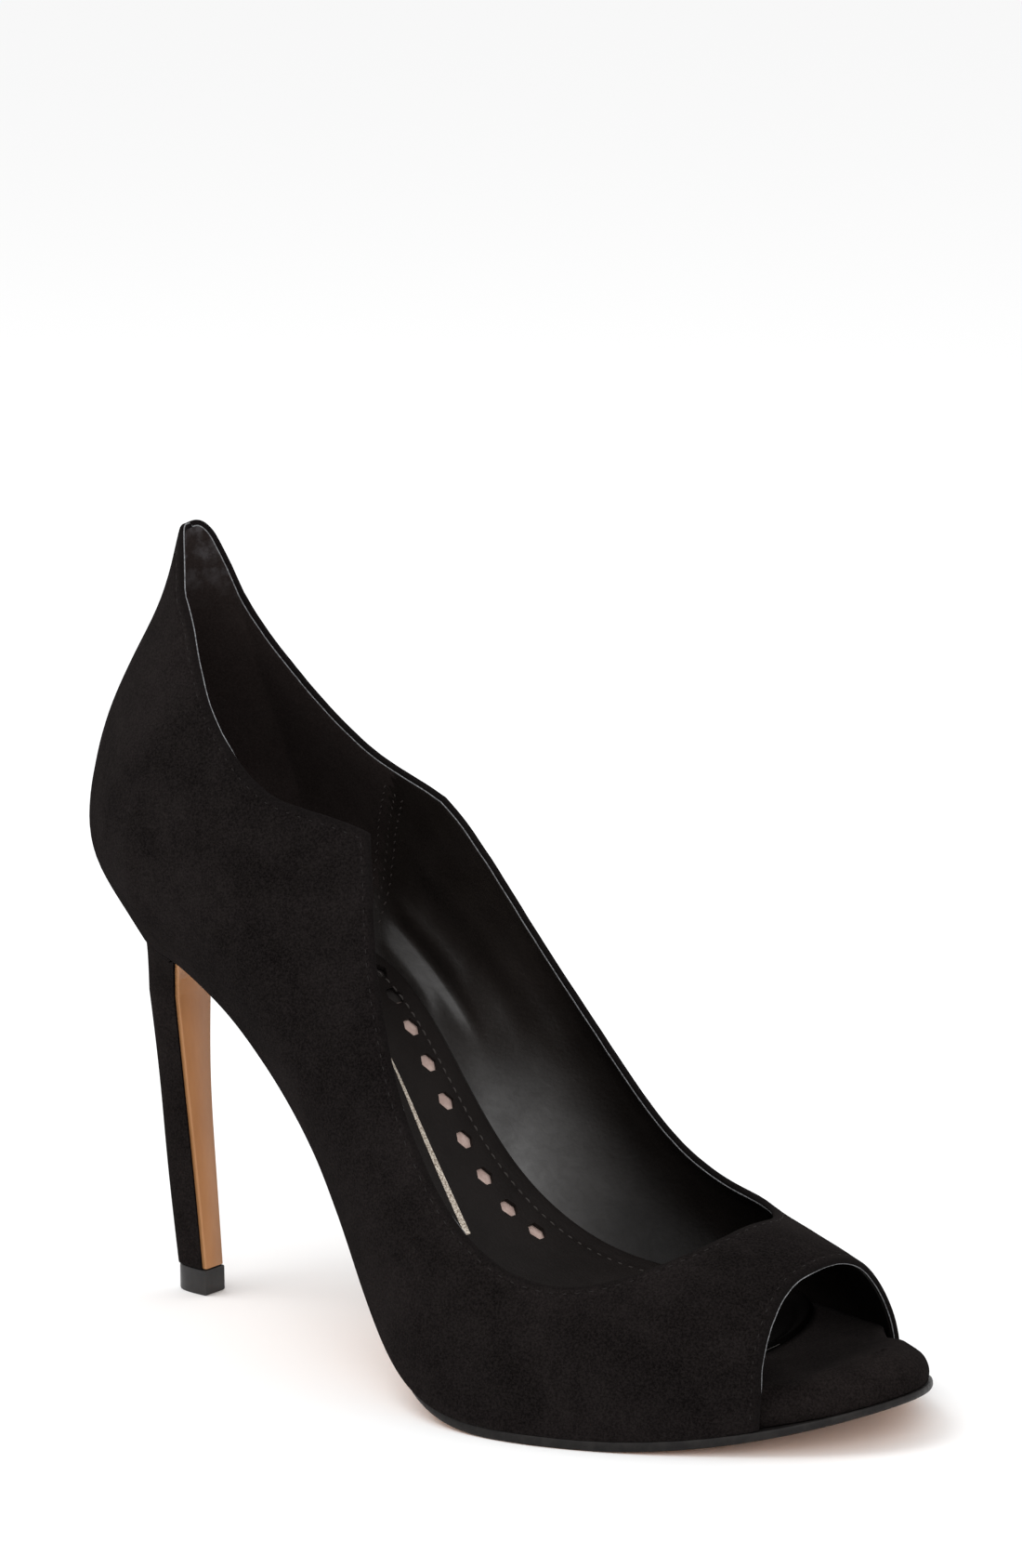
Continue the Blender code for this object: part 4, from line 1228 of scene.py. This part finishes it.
def add_painted_light(mesh):
    """Writes the painted sheen at each point, most along the sock by the ball, and the place that the
    painted shade goes by.
    """
    points = np.array([vert.co for vert in mesh.vertices]) / MM
    x, height = points[:, 0], points[:, 2] - bottom_z(points[:, 0]) - sock_high(points[:, 0])
    low = np.clip(1 - height / PAINTED_SHEEN_HEIGHT, 0, 1)
    along = np.exp(-(((x - PAINTED_SHEEN_X) / PAINTED_SHEEN_REACH) ** 2))
    write_values(mesh, "painted_sheen", low**1.2 * (0.05 + 0.95 * along))
    # The place along the foot that the painted shade goes by, further along higher up the wall
    write_values(mesh, "along", x + 0.45 * np.clip(height - 10.0, 0, 30))


def write_values(mesh, name, values):
    """Writes a value for each point, which the leather's material reads by this name."""
    layer = mesh.attributes.new(name, "FLOAT", "POINT")
    layer.data.foreach_set("value", values)


def make_tube(name, centre, normals, off, radius, closed, material, around=8):
    """A round line along points, with its section square to them."""
    turns = np.linspace(0, 2 * math.pi, around + 1)[:-1]
    rings = [centre + radius * (math.cos(t) * normals + math.sin(t) * off) for t in turns]
    rings.append(rings[0])
    grid = np.stack(rings, 1)
    faces = ring_faces(0, grid.shape[0], grid.shape[1], closed)
    mesh = surface_mesh(name, grid.reshape(-1, 3), faces)
    return add_piece(name, mesh, [material])


def make_edge_lines():
    """The pale cut edge between the suede and the lining."""
    _, y, z = COLLAR_EDGE.points.T
    low, high = BACK_LINE_HEIGHT
    by_the_back = np.clip((z - low) / (high - low), 0, 1) * (y < 1.0)
    _, y, z = TOE_EDGE.points.T
    near = np.clip(-y / 6.0, 0, 1) * np.clip((z - 9.0) / 7.0, 0, 1)
    for name, edge, place, raised_place, raised in (
        ("collar_cut_edge", COLLAR_EDGE, COLLAR_LINE, BACK_LINE, by_the_back),
        ("toe_cut_edge", TOE_EDGE, TOE_LINE, TOE_NEAR_LINE, near),
    ):
        centre = edge.at(*place)
        centre += raised[:, None] * (edge.at(*raised_place) - centre)
        wave = 0.08 * soft_noise(centre, 5.0, 11.0)
        centre = centre + wave[:, None] * edge.off
        make_tube(name, centre, edge.normals, edge.off, EDGE_LINE_RADIUS, edge.closed, EDGE_PALE)


def resample(points, *others, pitch, start=0.0, closed=False):
    """Points and their companions at even steps along a line."""
    points = np.vstack([points, points[:1]]) if closed else points
    others = [np.vstack([o, o[:1]]) if closed else o for o in others]
    along = np.r_[0, np.cumsum(np.linalg.norm(np.diff(points, axis=0), axis=1))]
    count = max(int((along[-1] - 2 * start) / pitch), 1)
    at = np.linspace(start, along[-1] - start, count + 1)
    if closed:
        at = at[:-1]
    out = []
    for rows in (points, *others):
        out.append(np.stack([np.interp(at, along, rows[:, k]) for k in range(3)], -1))
    return out


def stitch_template(sides=6, steps=7):
    """A stitch one unit long and of unit radius, lying along X with its ends pressed in."""
    points = []
    for i in range(steps + 1):
        t = -1 + 2 * i / steps
        radius = max(1 - abs(t) ** 2.6, 0.05) ** 0.5
        for k in range(sides):
            turn = 2 * math.pi * k / sides
            points.append((t / 2, radius * math.cos(turn), radius * math.sin(turn) - 0.9 * t * t))
    faces = loop_faces(steps + 1, sides)
    faces.append(tuple(range(sides))[::-1])
    faces.append(tuple(steps * sides + k for k in range(sides)))
    return np.array(points), faces


def make_stitches(name, points, normals, size, material, closed=False, start=1.0, turn=0.0):
    """A row of stitches along a line on a surface."""
    pitch, length, radius = size
    dice = random.Random(name)
    shape, shape_faces = stitch_template()
    start = 0.0 if closed else start
    places, ups = resample(points, normals, pitch=pitch, start=start, closed=closed)
    aheads = np.gradient(places, axis=0)
    all_points, faces = [], []
    for place, up, ahead in zip(places, ups, aheads):
        up = up / np.linalg.norm(up)
        ahead = ahead - up * (ahead @ up)
        ahead /= np.linalg.norm(ahead)
        across = np.cross(up, ahead)
        angle = turn + math.radians(dice.uniform(-5, 5))
        ahead, across = (
            ahead * math.cos(angle) + across * math.sin(angle),
            across * math.cos(angle) - ahead * math.sin(angle),
        )
        long = length * dice.uniform(0.92, 1.06)
        first = len(all_points)
        for x, y, z in shape:
            lift = z * radius + 0.3 * radius
            all_points.append(place + ahead * x * long + across * y * radius + up * lift)
        faces += [tuple(first + k for k in face) for face in shape_faces]
    mesh = bpy.data.meshes.new(name)
    mesh.from_pydata([tuple(p * MM) for p in all_points], [], faces)
    return add_piece(name, mesh, [material])


def make_upper_stitches():
    """The row of black stitches below the collar and behind the toe opening."""
    for name, edge in (("collar_stitches", COLLAR_EDGE), ("toe_stitches", TOE_EDGE)):
        line = edge.at(0.12, STITCH_INSET)
        make_stitches(
            name, line, edge.normals, UPPER_STITCH, THREAD_BLACK, edge.closed, 3.0
        )


def make_seam_stitches():
    """Three rows of stitches on each side where the linings meet."""
    for side in SIDES:
        share = np.linspace(10.0, 47.0, 60)
        s_line = seam_lengths(side, share)
        for row, (shift, turn) in enumerate(SEAM_ROWS):
            s = s_line + shift
            place = last_point(side, s, share)
            normal = -last_normal(side, s, share)
            depth = LINING_DEPTH + (0.42 if shift < 0 else 0.02)
            make_stitches(
                f"lining_seam_{side}_{row}", place + depth * normal, normal, SEAM_STITCH,
                THREAD_SEAM, start=0.5, turn=math.radians(turn),
            )


# The sock lining


def wall_line(side, x, height, inset=0.0):
    """Points at these x, this high above the last's bottom and this far in from the wall."""
    return inside_point(side, SIDES[side].s_at_x(x), height, UPPER_WALL + WALL_GAP + inset)


def sock_stations():
    """The lengths at which the sock is drawn: close together round the heel and at the front."""
    flat = np.linspace(INSOLE_BACK_X, SOCK_FRONT_X - SOCK_FRONT_ROUND, 170)
    turn = np.linspace(0, math.pi / 2, 37)[1:]
    x = np.r_[flat, SOCK_FRONT_X - SOCK_FRONT_ROUND + SOCK_FRONT_ROUND * np.sin(turn)]
    heel_turn = np.linspace(0, 1, 30)[:-1] * SIDES["outer"].s_at_x(HEEL_TURN_X)
    return np.r_[SIDES["outer"].at(heel_turn)[:, 0], x[x > HEEL_TURN_X + 0.6]]


def sock_edges(height):
    """The two side edges of a layer at this height above the last's bottom, as in its solid."""
    x = sock_stations()
    return {side: wall_line(side, x, height(x)) for side in SIDES}


SOCK_TOP = sock_edges(sock_high)


def sock_top_z(x, y):
    """The height of the sock's top, read between its two side edges."""
    lines = []
    for side in SIDES:
        edge = SOCK_TOP[side]
        order = np.argsort(edge[:, 0])
        lines += [np.interp(x, edge[order, 0], edge[order, k]) for k in (1, 2)]
    y0, z0, y1, z1 = lines
    share = np.clip((y - y0) / (y1 - y0), 0, 1)
    return z0 * (1 - share) + z1 * share


def between_edges(edges, share):
    """The x and z of the straight lines from edge to edge."""
    outer, inner = edges["outer"], edges["inner"]
    return [outer[:, k, None] * (1 - share) + inner[:, k, None] * share for k in (0, 2)]


def make_sock_piece():
    """The sock lining with its cut-outs, a raised margin outside the stitching and soft edges."""
    x = sock_stations()
    edges = SOCK_TOP
    reach = np.clip((x - SOCK_FRONT_X + SOCK_FRONT_ROUND) / SOCK_FRONT_ROUND, 0, 1)
    narrow = np.sqrt(1 - reach**2)
    middle = (edges["outer"][:, 1] + edges["inner"][:, 1]) / 2
    half = (edges["inner"][:, 1] - edges["outer"][:, 1]) / 2 * narrow
    across = np.sin(np.linspace(-1, 1, SOCK_COLUMNS) * math.pi / 2)
    share = (across[None] + 1) / 2
    line_y = middle[:, None] + half[:, None] * across[None]
    line_x, top_z = between_edges(edges, share)
    low_x, low_z = between_edges(sock_edges(sock_low), share)
    edge_gap = half[:, None] * (1 - np.abs(across))[None]
    relief = sum(ridge(edge_gap - place, half_width, rise) for place, half_width, rise in SOCK_RELIEF)
    wide_enough = np.clip(half / 6.0, 0, 1)[:, None]
    top = np.stack([line_x, line_y, top_z + relief * wide_enough], -1)
    low = np.stack([low_x, line_y, low_z + 0.05], -1)
    stations, width = top.shape[:2]
    points = list(top.reshape(-1, 3)) + list(low.reshape(-1, 3))
    other = stations * width
    faces = grid_faces(0, stations, width) + grid_faces(other, stations, width, flip=True)
    ring = [i * width for i in range(stations)]
    ring += [(stations - 1) * width + k for k in range(1, width)]
    ring += [i * width + width - 1 for i in range(stations - 2, -1, -1)]
    ring += list(range(width - 2, 0, -1))
    for a, b in zip(ring, ring[1:] + ring[:1]):
        faces.append((a, b, other + b, other + a))
    mesh = surface_mesh("sock_leather", points, faces)
    sock = add_piece("sock_leather", mesh, [SOCK_LEATHER], ["sock_lining"], 40)
    cutter = make_hexagons()
    cut = sock.modifiers.new("cutouts", "BOOLEAN")
    cut.operation = "DIFFERENCE"
    cut.solver = "EXACT"
    cut.object = cutter
    apply_modifiers(sock)
    bpy.data.objects.remove(cutter)
    # The leather's painted shade goes by the place along the foot
    write_values(sock.data, "along", [vert.co.x / MM for vert in sock.data.vertices])
    return sock


def cutout_places():
    """The middles of the cut-outs, evenly spaced along their row."""
    curve, along = path(HOLE_ROW)
    return curve(np.linspace(0, along[-1], CUTOUT_COUNT))


def sock_frame(x, y):
    """The place on the sock's top, the way ahead along it and its upward direction."""
    z = float(sock_top_z(x, y))
    rise = float(sock_top_z(x + 1, y) - sock_top_z(x - 1, y)) / 2
    ahead = np.array([1.0, 0.0, rise]) / math.hypot(1.0, rise)
    return np.array([x, y, z]), ahead, np.array([-ahead[2], 0.0, ahead[0]])


def make_hexagons():
    """The six-sided posts that cut the openings."""
    points, faces = [], []
    for x, y in cutout_places():
        centre, ahead, up = sock_frame(x, y)
        first = len(points)
        for lift in HOLE_REACH:
            for k in range(6):
                turn = math.radians(60 * k + 30)
                radius = SOCK_HOLE_WIDTH / math.sqrt(3)
                spot = centre + radius * math.cos(turn) * ahead + lift * up
                points.append(spot + np.array([0.0, radius * math.sin(turn), 0.0]))
        under, over = [[first + level + k for k in range(6)] for level in (0, 6)]
        faces += [tuple(under), tuple(over)]
        faces += strip_faces(under + under[:1], over + over[:1])
    cutter = bpy.data.objects.new("hexagons", surface_mesh("hexagons", points, faces))
    bpy.context.scene.collection.objects.link(cutter)
    cutter.hide_render = True
    return cutter


def make_sock_stitches():
    """The stitching that follows the sock's margin on both sides."""
    for side in SIDES:
        x = np.linspace(-4.0, 125.0, 160)
        place = wall_line(side, x, sock_high(x) - 0.2, SOCK_STITCH_INSET)
        place[:, 2] = sock_top_z(place[:, 0], place[:, 1]) - 0.18
        up = np.array([sock_frame(v, 0.0)[2] for v in place[:, 0]])
        make_stitches(f"sock_stitches_{side}", place, up, SOCK_STITCH, THREAD_SOCK)


# The glitter stripe: x and y of its middle line, and its width
STRIPE = ((51.6, 4.8, 0.3), (60.5, 2.2, 1.0), (67.1, 0.1, 1.4), (74.0, -2.1, 1.7), (83.3, -5.8, 1.9))
SOCK_LINE = ((60.9, -0.7), (65.4, -3.2), (71.9, -5.6), (77.5, -6.5), (83.1, -6.2))


def make_stripe():
    """The raised stripe of glitter, which widens towards the toe."""
    rows = spline([r[0] for r in STRIPE], [r[1:] for r in STRIPE])
    xs = np.linspace(STRIPE[0][0], STRIPE[-1][0], 70)
    points = []
    for x in xs:
        y, width = rows(x)
        half = max(float(width), 0.1) / 2
        for sign, lift in ((1, -0.3), (1, 0.1), (-1, 0.1), (-1, -0.3)):
            centre, _, up = sock_frame(float(x), float(y) + sign * half)
            points.append(centre + up * lift)
    faces = ring_faces(0, len(xs), 4, False)
    mesh = surface_mesh("glitter_stripe", points, faces)
    return add_piece("glitter_stripe", mesh, [GLITTER], sharp=30)


def make_line(name, centre, ups, radius, material):
    """An open round line on the sock."""
    ahead = np.gradient(centre, axis=0)
    across = np.cross(ups, ahead / np.linalg.norm(ahead, axis=1, keepdims=True))
    make_tube(name, centre, ups, across, radius, False, material)


def make_sock_line():
    """The thin raised line beside the stripe."""
    curve, along = path(SOCK_LINE)
    places = curve(np.linspace(0, along[-1], 60))
    spots = [sock_frame(float(x), float(y)) for x, y in places]
    centre = np.array([spot + 0.05 * up for spot, _, up in spots])
    ups = np.array([up for _, _, up in spots])
    make_line("sock_line", centre, ups, EDGE_LINE_RADIUS, EDGE_PALE)


def make_sock_front_line():
    """The pale cut edge round the front of the sock."""
    turn = np.linspace(math.radians(8), math.radians(90), 40)
    x = SOCK_FRONT_X - SOCK_FRONT_ROUND + SOCK_FRONT_ROUND * np.sin(turn)
    sides = [wall_line(side, x, sock_high(x))[:, 1] for side in SIDES]
    middle, half = (sides[1] + sides[0]) / 2, (sides[1] - sides[0]) / 2 * np.cos(turn)
    lines = []
    for sign in (-1, 1):
        y = middle + sign * half
        lines.append(np.stack([x, y, bottom_z(x) + sock_high(x) - 0.32], -1))
    centre = np.vstack([lines[0], lines[1][::-1][1:5]])
    ups = np.tile((0.0, 0.0, 1.0), (len(centre), 1))
    make_line("sock_front_line", centre, ups, FRONT_LINE_RADIUS, THREAD_FRONT)


# The platform, the sole and the heel
PLATFORM_STATIONS = 90
PLATFORM_LEVELS = 18
PLATFORM_COLUMNS = 14
# The crown of the platform's top, which grows from and to this x
PLATFORM_CROWN = 0.5
PLATFORM_CROWN_X = (100.0, 140.0)
OUTSOLE_STATIONS = 130
# The sole's edge from the floor up: how far it draws in, and the share of its thickness
SOLE_FOOT = ((0.55, 0.0), (0.2, 0.06), (0.0, 0.22))
SOLE_HEAD = ((0.0, 0.88), (0.12, 0.97), (0.4, 1.0))
SOLE_DOME = 0.1
# The suede is folded this much further onto the breast at the seat
SEAT_FOLD = 0.6
# The flap's levels below its face, and how far its face is drawn in
FLAP_LEVELS = (FLAP_THICKNESS, 0.5, 0.16)
FLAP_ROUND = 0.142
# The top piece from the floor up: height, and the share of its full size
TOP_PIECE_LEVELS = ((0.0, 0.92), (0.12, 0.97), (0.4, 1.0), (5.6, 1.0), (5.9, 0.985), (6.0, 0.95))


def make_platform_piece():
    """The platform's suede, rounded over its edge ahead of the toe opening."""
    x, _ = toe_lengths(PLATFORM_BACK_X, PLATFORM_STATIONS)
    step = [BOARD_FRONT_X + FIT_GAP, BOARD_FRONT_X + FIT_GAP + 0.3]
    x = np.sort(np.r_[x, step])
    tip = SIDES["outer"].points[-1, 0]
    recess = np.where(x < step[1] - 0.01, BOARD_THICKNESS, 0.0)
    low = outline_z(x) - bottom_z(x)
    thick = np.maximum(stack_height(x) - recess - low, 0.25)
    shares, draw_ins = zip(*PLATFORM_ROUND)
    walls = []
    for side in ("outer", "inner"):
        s = np.where(x >= tip, SIDES[side].length, SIDES[side].s_at_x(x))
        corner = TOE_OPENING[side][0][0] + 0.5
        ahead = np.clip((x - corner) / PLATFORM_TURN, 0, 1)
        ahead = ahead**2 * (3 - 2 * ahead)
        rounded = np.clip((x - corner) / PLATFORM_ROUND_START + 1, 0, 1)
        levels = []
        for share in np.sin(np.linspace(0, math.pi / 2, PLATFORM_LEVELS)):
            draw_in = spline(shares, draw_ins)(share)
            height = low + thick * share
            open_xy = outline_offset(side, s, -PLATFORM_INSET - draw_in * rounded)
            closed = inside_point(side, s, height, UPPER_WALL + WALL_GAP)[:, :2]
            closed[:, 1] -= SIDES[side].sign * draw_in * rounded
            xy = closed * (1 - ahead[:, None]) + open_xy * ahead[:, None]
            levels.append(np.c_[xy, bottom_z(x) + height])
        walls.append(np.stack(levels, 1))
    outer, inner = walls
    middle = (outer[:, -1] + inner[:, -1]) / 2
    points, faces = [], []
    for wall, flip in ((outer, False), (inner, True)):
        stations, levels = wall.shape[:2]
        inwards = np.linspace(0, 1, PLATFORM_COLUMNS)[1:]
        bridge = inwards[:, None, None]
        over = (wall[:, -1][None] * (1 - bridge) + middle[None] * bridge).transpose(1, 0, 2)
        grid = np.concatenate([wall, over], 1)
        # The top crowns a little towards the middle
        rise = np.r_[np.zeros(levels), PLATFORM_CROWN * np.sin(inwards * math.pi / 2)]
        low_x, high_x = PLATFORM_CROWN_X
        grid[..., 2] += rise[None] * np.clip((x - low_x) / (high_x - low_x), 0, 1)[:, None]
        faces += grid_faces(len(points), stations, grid.shape[1], flip)
        points += list(grid.reshape(-1, 3))
    mesh = surface_mesh("platform_suede", points, faces)
    return add_piece("platform_suede", mesh, [SUEDE_PLAIN], ["platform"])


def make_outsole_piece():
    """The sole: a black edge that is slightly domed, and a tan underside."""
    x, lengths = toe_lengths(OUTSOLE_BACK_X, OUTSOLE_STATIONS)
    top = outline_z(x) - 0.06
    under = np.maximum(outline_z(x) - FIT_GAP - outsole_thickness(x), 0.0)
    start, end = SOLE_FOOT[-1][1], SOLE_HEAD[0][1]
    turns = np.linspace(0, 1, 9)[1:-1]
    dome = [(-SOLE_DOME * math.sin(math.pi * t), start + (end - start) * t) for t in turns]
    sections = [*SOLE_FOOT, *dome, *SOLE_HEAD]
    walls = []
    for side in ("outer", "inner"):
        levels = []
        for draw_in, share in sections:
            xy = outline_offset(side, lengths[side], outsole_edge(x) - 0.25 - draw_in)
            levels.append(np.c_[xy, under + (top - under) * share])
        walls.append(np.stack(levels, 1))
    mesh = ladder("outsole_leather", walls[0], walls[1])
    piece = add_piece("outsole_leather", mesh, [SOLE_EDGE, TAN], ["outsole"], 35)
    for face in mesh.polygons:
        if face.normal.z < -0.9 or (face.normal.z < -0.5 and face.area > 2e-6):
            face.material_index = 1
    return piece


def make_heel_piece():
    """The heel's suede, with its edge folded onto the breast."""
    rings = heel_rings()
    room = FLAP_THICKNESS + FIT_GAP
    front = list(range(ROUND_POINTS, ROUND_POINTS + FRONT_POINTS)) + [0]
    body = []
    for i, ring in enumerate(rings):
        ring = ring.copy()
        away = np.array([room + SEAT_FOLD, 0.0, 0.0])
        if i < len(rings) - 1:
            away = breast_direction(rings[:-1], i) * room
        for k in front:
            ring[k] = ring[k] - away
        body.append(ring)
    per_ring = ROUND_POINTS + FRONT_POINTS
    points = list(np.vstack(body))
    faces = loop_faces(len(body), per_ring)
    faces.append(list(range(per_ring)))
    last = (len(body) - 1) * per_ring
    half = ROUND_POINTS // 2
    left = [last + k for k in range(half + 1)]
    right = [last + ROUND_POINTS - k for k in range(half + 1)]
    faces += strip_faces(left[1:], right[1:])
    faces.append([last + ROUND_POINTS + k for k in range(FRONT_POINTS)] + [last, left[1], right[1]])
    mesh = surface_mesh("heel_suede", points, faces)
    return add_piece("heel_suede", mesh, [SUEDE_PLAIN], ["heel"], 50)


def make_breast_piece():
    """The flap of leather over the heel's breast, with softened edges."""
    rings = heel_rings()
    walls = ([], [])
    for i, ring in enumerate(rings[:-1]):
        away = breast_direction(rings[:-1], i)
        for wall, k, sign in ((walls[0], 0, 1), (walls[1], ROUND_POINTS, -1)):
            edge = ring[k] + np.array([0.0, FLAP_INSET * sign, 0.0])
            level = [edge - away * depth for depth in FLAP_LEVELS]
            wall.append(level + [edge + np.array([0.0, FLAP_ROUND * sign, 0.0])])
    mesh = ladder("breast_leather", np.array(walls[0]), np.array(walls[1]))
    return add_piece("breast_leather", mesh, [TAN], ["heel_breast"], 50)


def make_top_piece_looks():
    """The hard tip, with its edges broken at the floor and under the heel."""
    ring = stem_ring(HEEL_STEM[0][1], -TOP_PIECE_INSET)
    centre = ring.mean(0)
    points = []
    count = len(ring)
    for z, share in TOP_PIECE_LEVELS:
        level = centre + (ring - centre) * share
        level[:, 2] = z
        points += list(level)
    last = (len(TOP_PIECE_LEVELS) - 1) * count
    faces = loop_faces(len(TOP_PIECE_LEVELS), count)
    faces += [list(range(count)), list(range(last, last + count))]
    mesh = surface_mesh("top_piece_hard", points, faces)
    return add_piece("top_piece_hard", mesh, [TOP_PIECE], ["top_piece"], 40)


def dress_board():
    """The board keeps its solid, in its own material."""
    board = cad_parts["insole_board"]
    board.data.materials.clear()
    board.data.materials.append(BOARD)


# The studio, in metres
FLOOR_SIZE = 6.0
LIGHT_AIM = (0.09, 0.0, 0.06)
# Each light's place, the length of its sides and its power in watts
LIGHTS = (
    ("key", (-0.5, -0.5, 1.5), 0.9, 9.0),
    ("front", (0.9, -0.9, 0.7), 0.8, 4.0),
)


def make_floor():
    """The white ground that the shoe stands on."""
    mesh = bpy.data.meshes.new("floor")
    corners = [(x * FLOOR_SIZE, y * FLOOR_SIZE, 0) for x, y in ((-1, -1), (1, -1), (1, 1), (-1, 1))]
    mesh.from_pydata(corners, [], [(0, 1, 2, 3)])
    floor = bpy.data.objects.new("floor", mesh)
    bpy.context.scene.collection.objects.link(floor)
    shader = Shader("studio_floor")
    shader.surface.inputs["Base Color"].default_value = (0.93, 0.93, 0.93, 1.0)
    shader.surface.inputs["Roughness"].default_value = 0.9
    shader.surface.inputs["Specular IOR Level"].default_value = 0.0
    mesh.materials.append(shader.material)


def make_light(name, place, size, power):
    """A soft white panel that looks at the shoe."""
    data = bpy.data.lights.new(name, "AREA")
    data.shape = "RECTANGLE"
    data.size = data.size_y = size
    data.energy = power
    light = bpy.data.objects.new(name, data)
    bpy.context.scene.collection.objects.link(light)
    light.location = place
    away = Vector(place) - Vector(LIGHT_AIM)
    light.rotation_euler = away.to_track_quat("Z", "Y").to_euler()


def make_studio():
    """A white surround with a soft light from above and one from the front."""
    bpy.context.scene.view_settings.view_transform = "Standard"
    world = bpy.data.worlds.new("studio")
    world.use_nodes = True
    background = world.node_tree.nodes["Background"]
    background.inputs["Color"].default_value = (1.0, 1.0, 1.0, 1.0)
    background.inputs["Strength"].default_value = 1.0
    bpy.context.scene.world = world
    for row in LIGHTS:
        make_light(*row)


# The camera's direction from the shoe, its distance, and where its aim falls in the picture
CAMERA_AZIMUTH = 38.0
CAMERA_ELEVATION = 14.6
CAMERA_DISTANCE = 1300.0
CAMERA_ROLL = 0.5
CAMERA_AIM = (87.0, 0.0, 60.0)
PIXELS_PER_MM = 4.92
AIM_PIXEL = (534.0, 1175.0)
PICTURE = (1100.0, 1687.0)
SENSOR = 36.0


def make_camera():
    """Stands where the photographer stood, and turns so that the aim falls on its pixel."""
    turn, tilt = math.radians(CAMERA_AZIMUTH), math.radians(CAMERA_ELEVATION)
    back = Vector((math.sin(turn) * math.cos(tilt), -math.cos(turn) * math.cos(tilt), math.sin(tilt)))
    right = Vector((math.cos(turn), math.sin(turn), 0.0))
    up = Vector((-math.sin(turn) * math.sin(tilt), math.cos(turn) * math.sin(tilt), math.cos(tilt)))
    roll = math.radians(CAMERA_ROLL)
    right, up = (
        right * math.cos(roll) - up * math.sin(roll),
        right * math.sin(roll) + up * math.cos(roll),
    )
    focal = PIXELS_PER_MM * CAMERA_DISTANCE
    off_x = PICTURE[0] / 2 - AIM_PIXEL[0]
    off_y = AIM_PIXEL[1] - PICTURE[1] / 2
    forward = (-back * focal + right * off_x + up * off_y).normalized()
    side = forward.cross(up).normalized()
    top = side.cross(forward)
    data = bpy.data.cameras.new("camera")
    data.sensor_width = SENSOR
    data.lens = focal * SENSOR / PICTURE[1]
    data.clip_start, data.clip_end = 0.05, 50.0
    camera = bpy.data.objects.new("camera", data)
    bpy.context.scene.collection.objects.link(camera)
    place = (Vector(CAMERA_AIM) + back * CAMERA_DISTANCE) * MM
    rotation = Matrix((side, top, -forward)).transposed().to_4x4()
    camera.matrix_world = Matrix.Translation(place) @ rotation
    bpy.context.scene.camera = camera


make_camera()
make_suede_upper()
make_linings()
make_edge_lines()
make_upper_stitches()
make_seam_stitches()
make_sock_piece()
make_sock_stitches()
make_stripe()
make_sock_line()
make_sock_front_line()
make_platform_piece()
make_outsole_piece()
make_heel_piece()
make_breast_piece()
make_top_piece_looks()
dress_board()
make_floor()
make_studio()

bpy.context.view_layer.update()
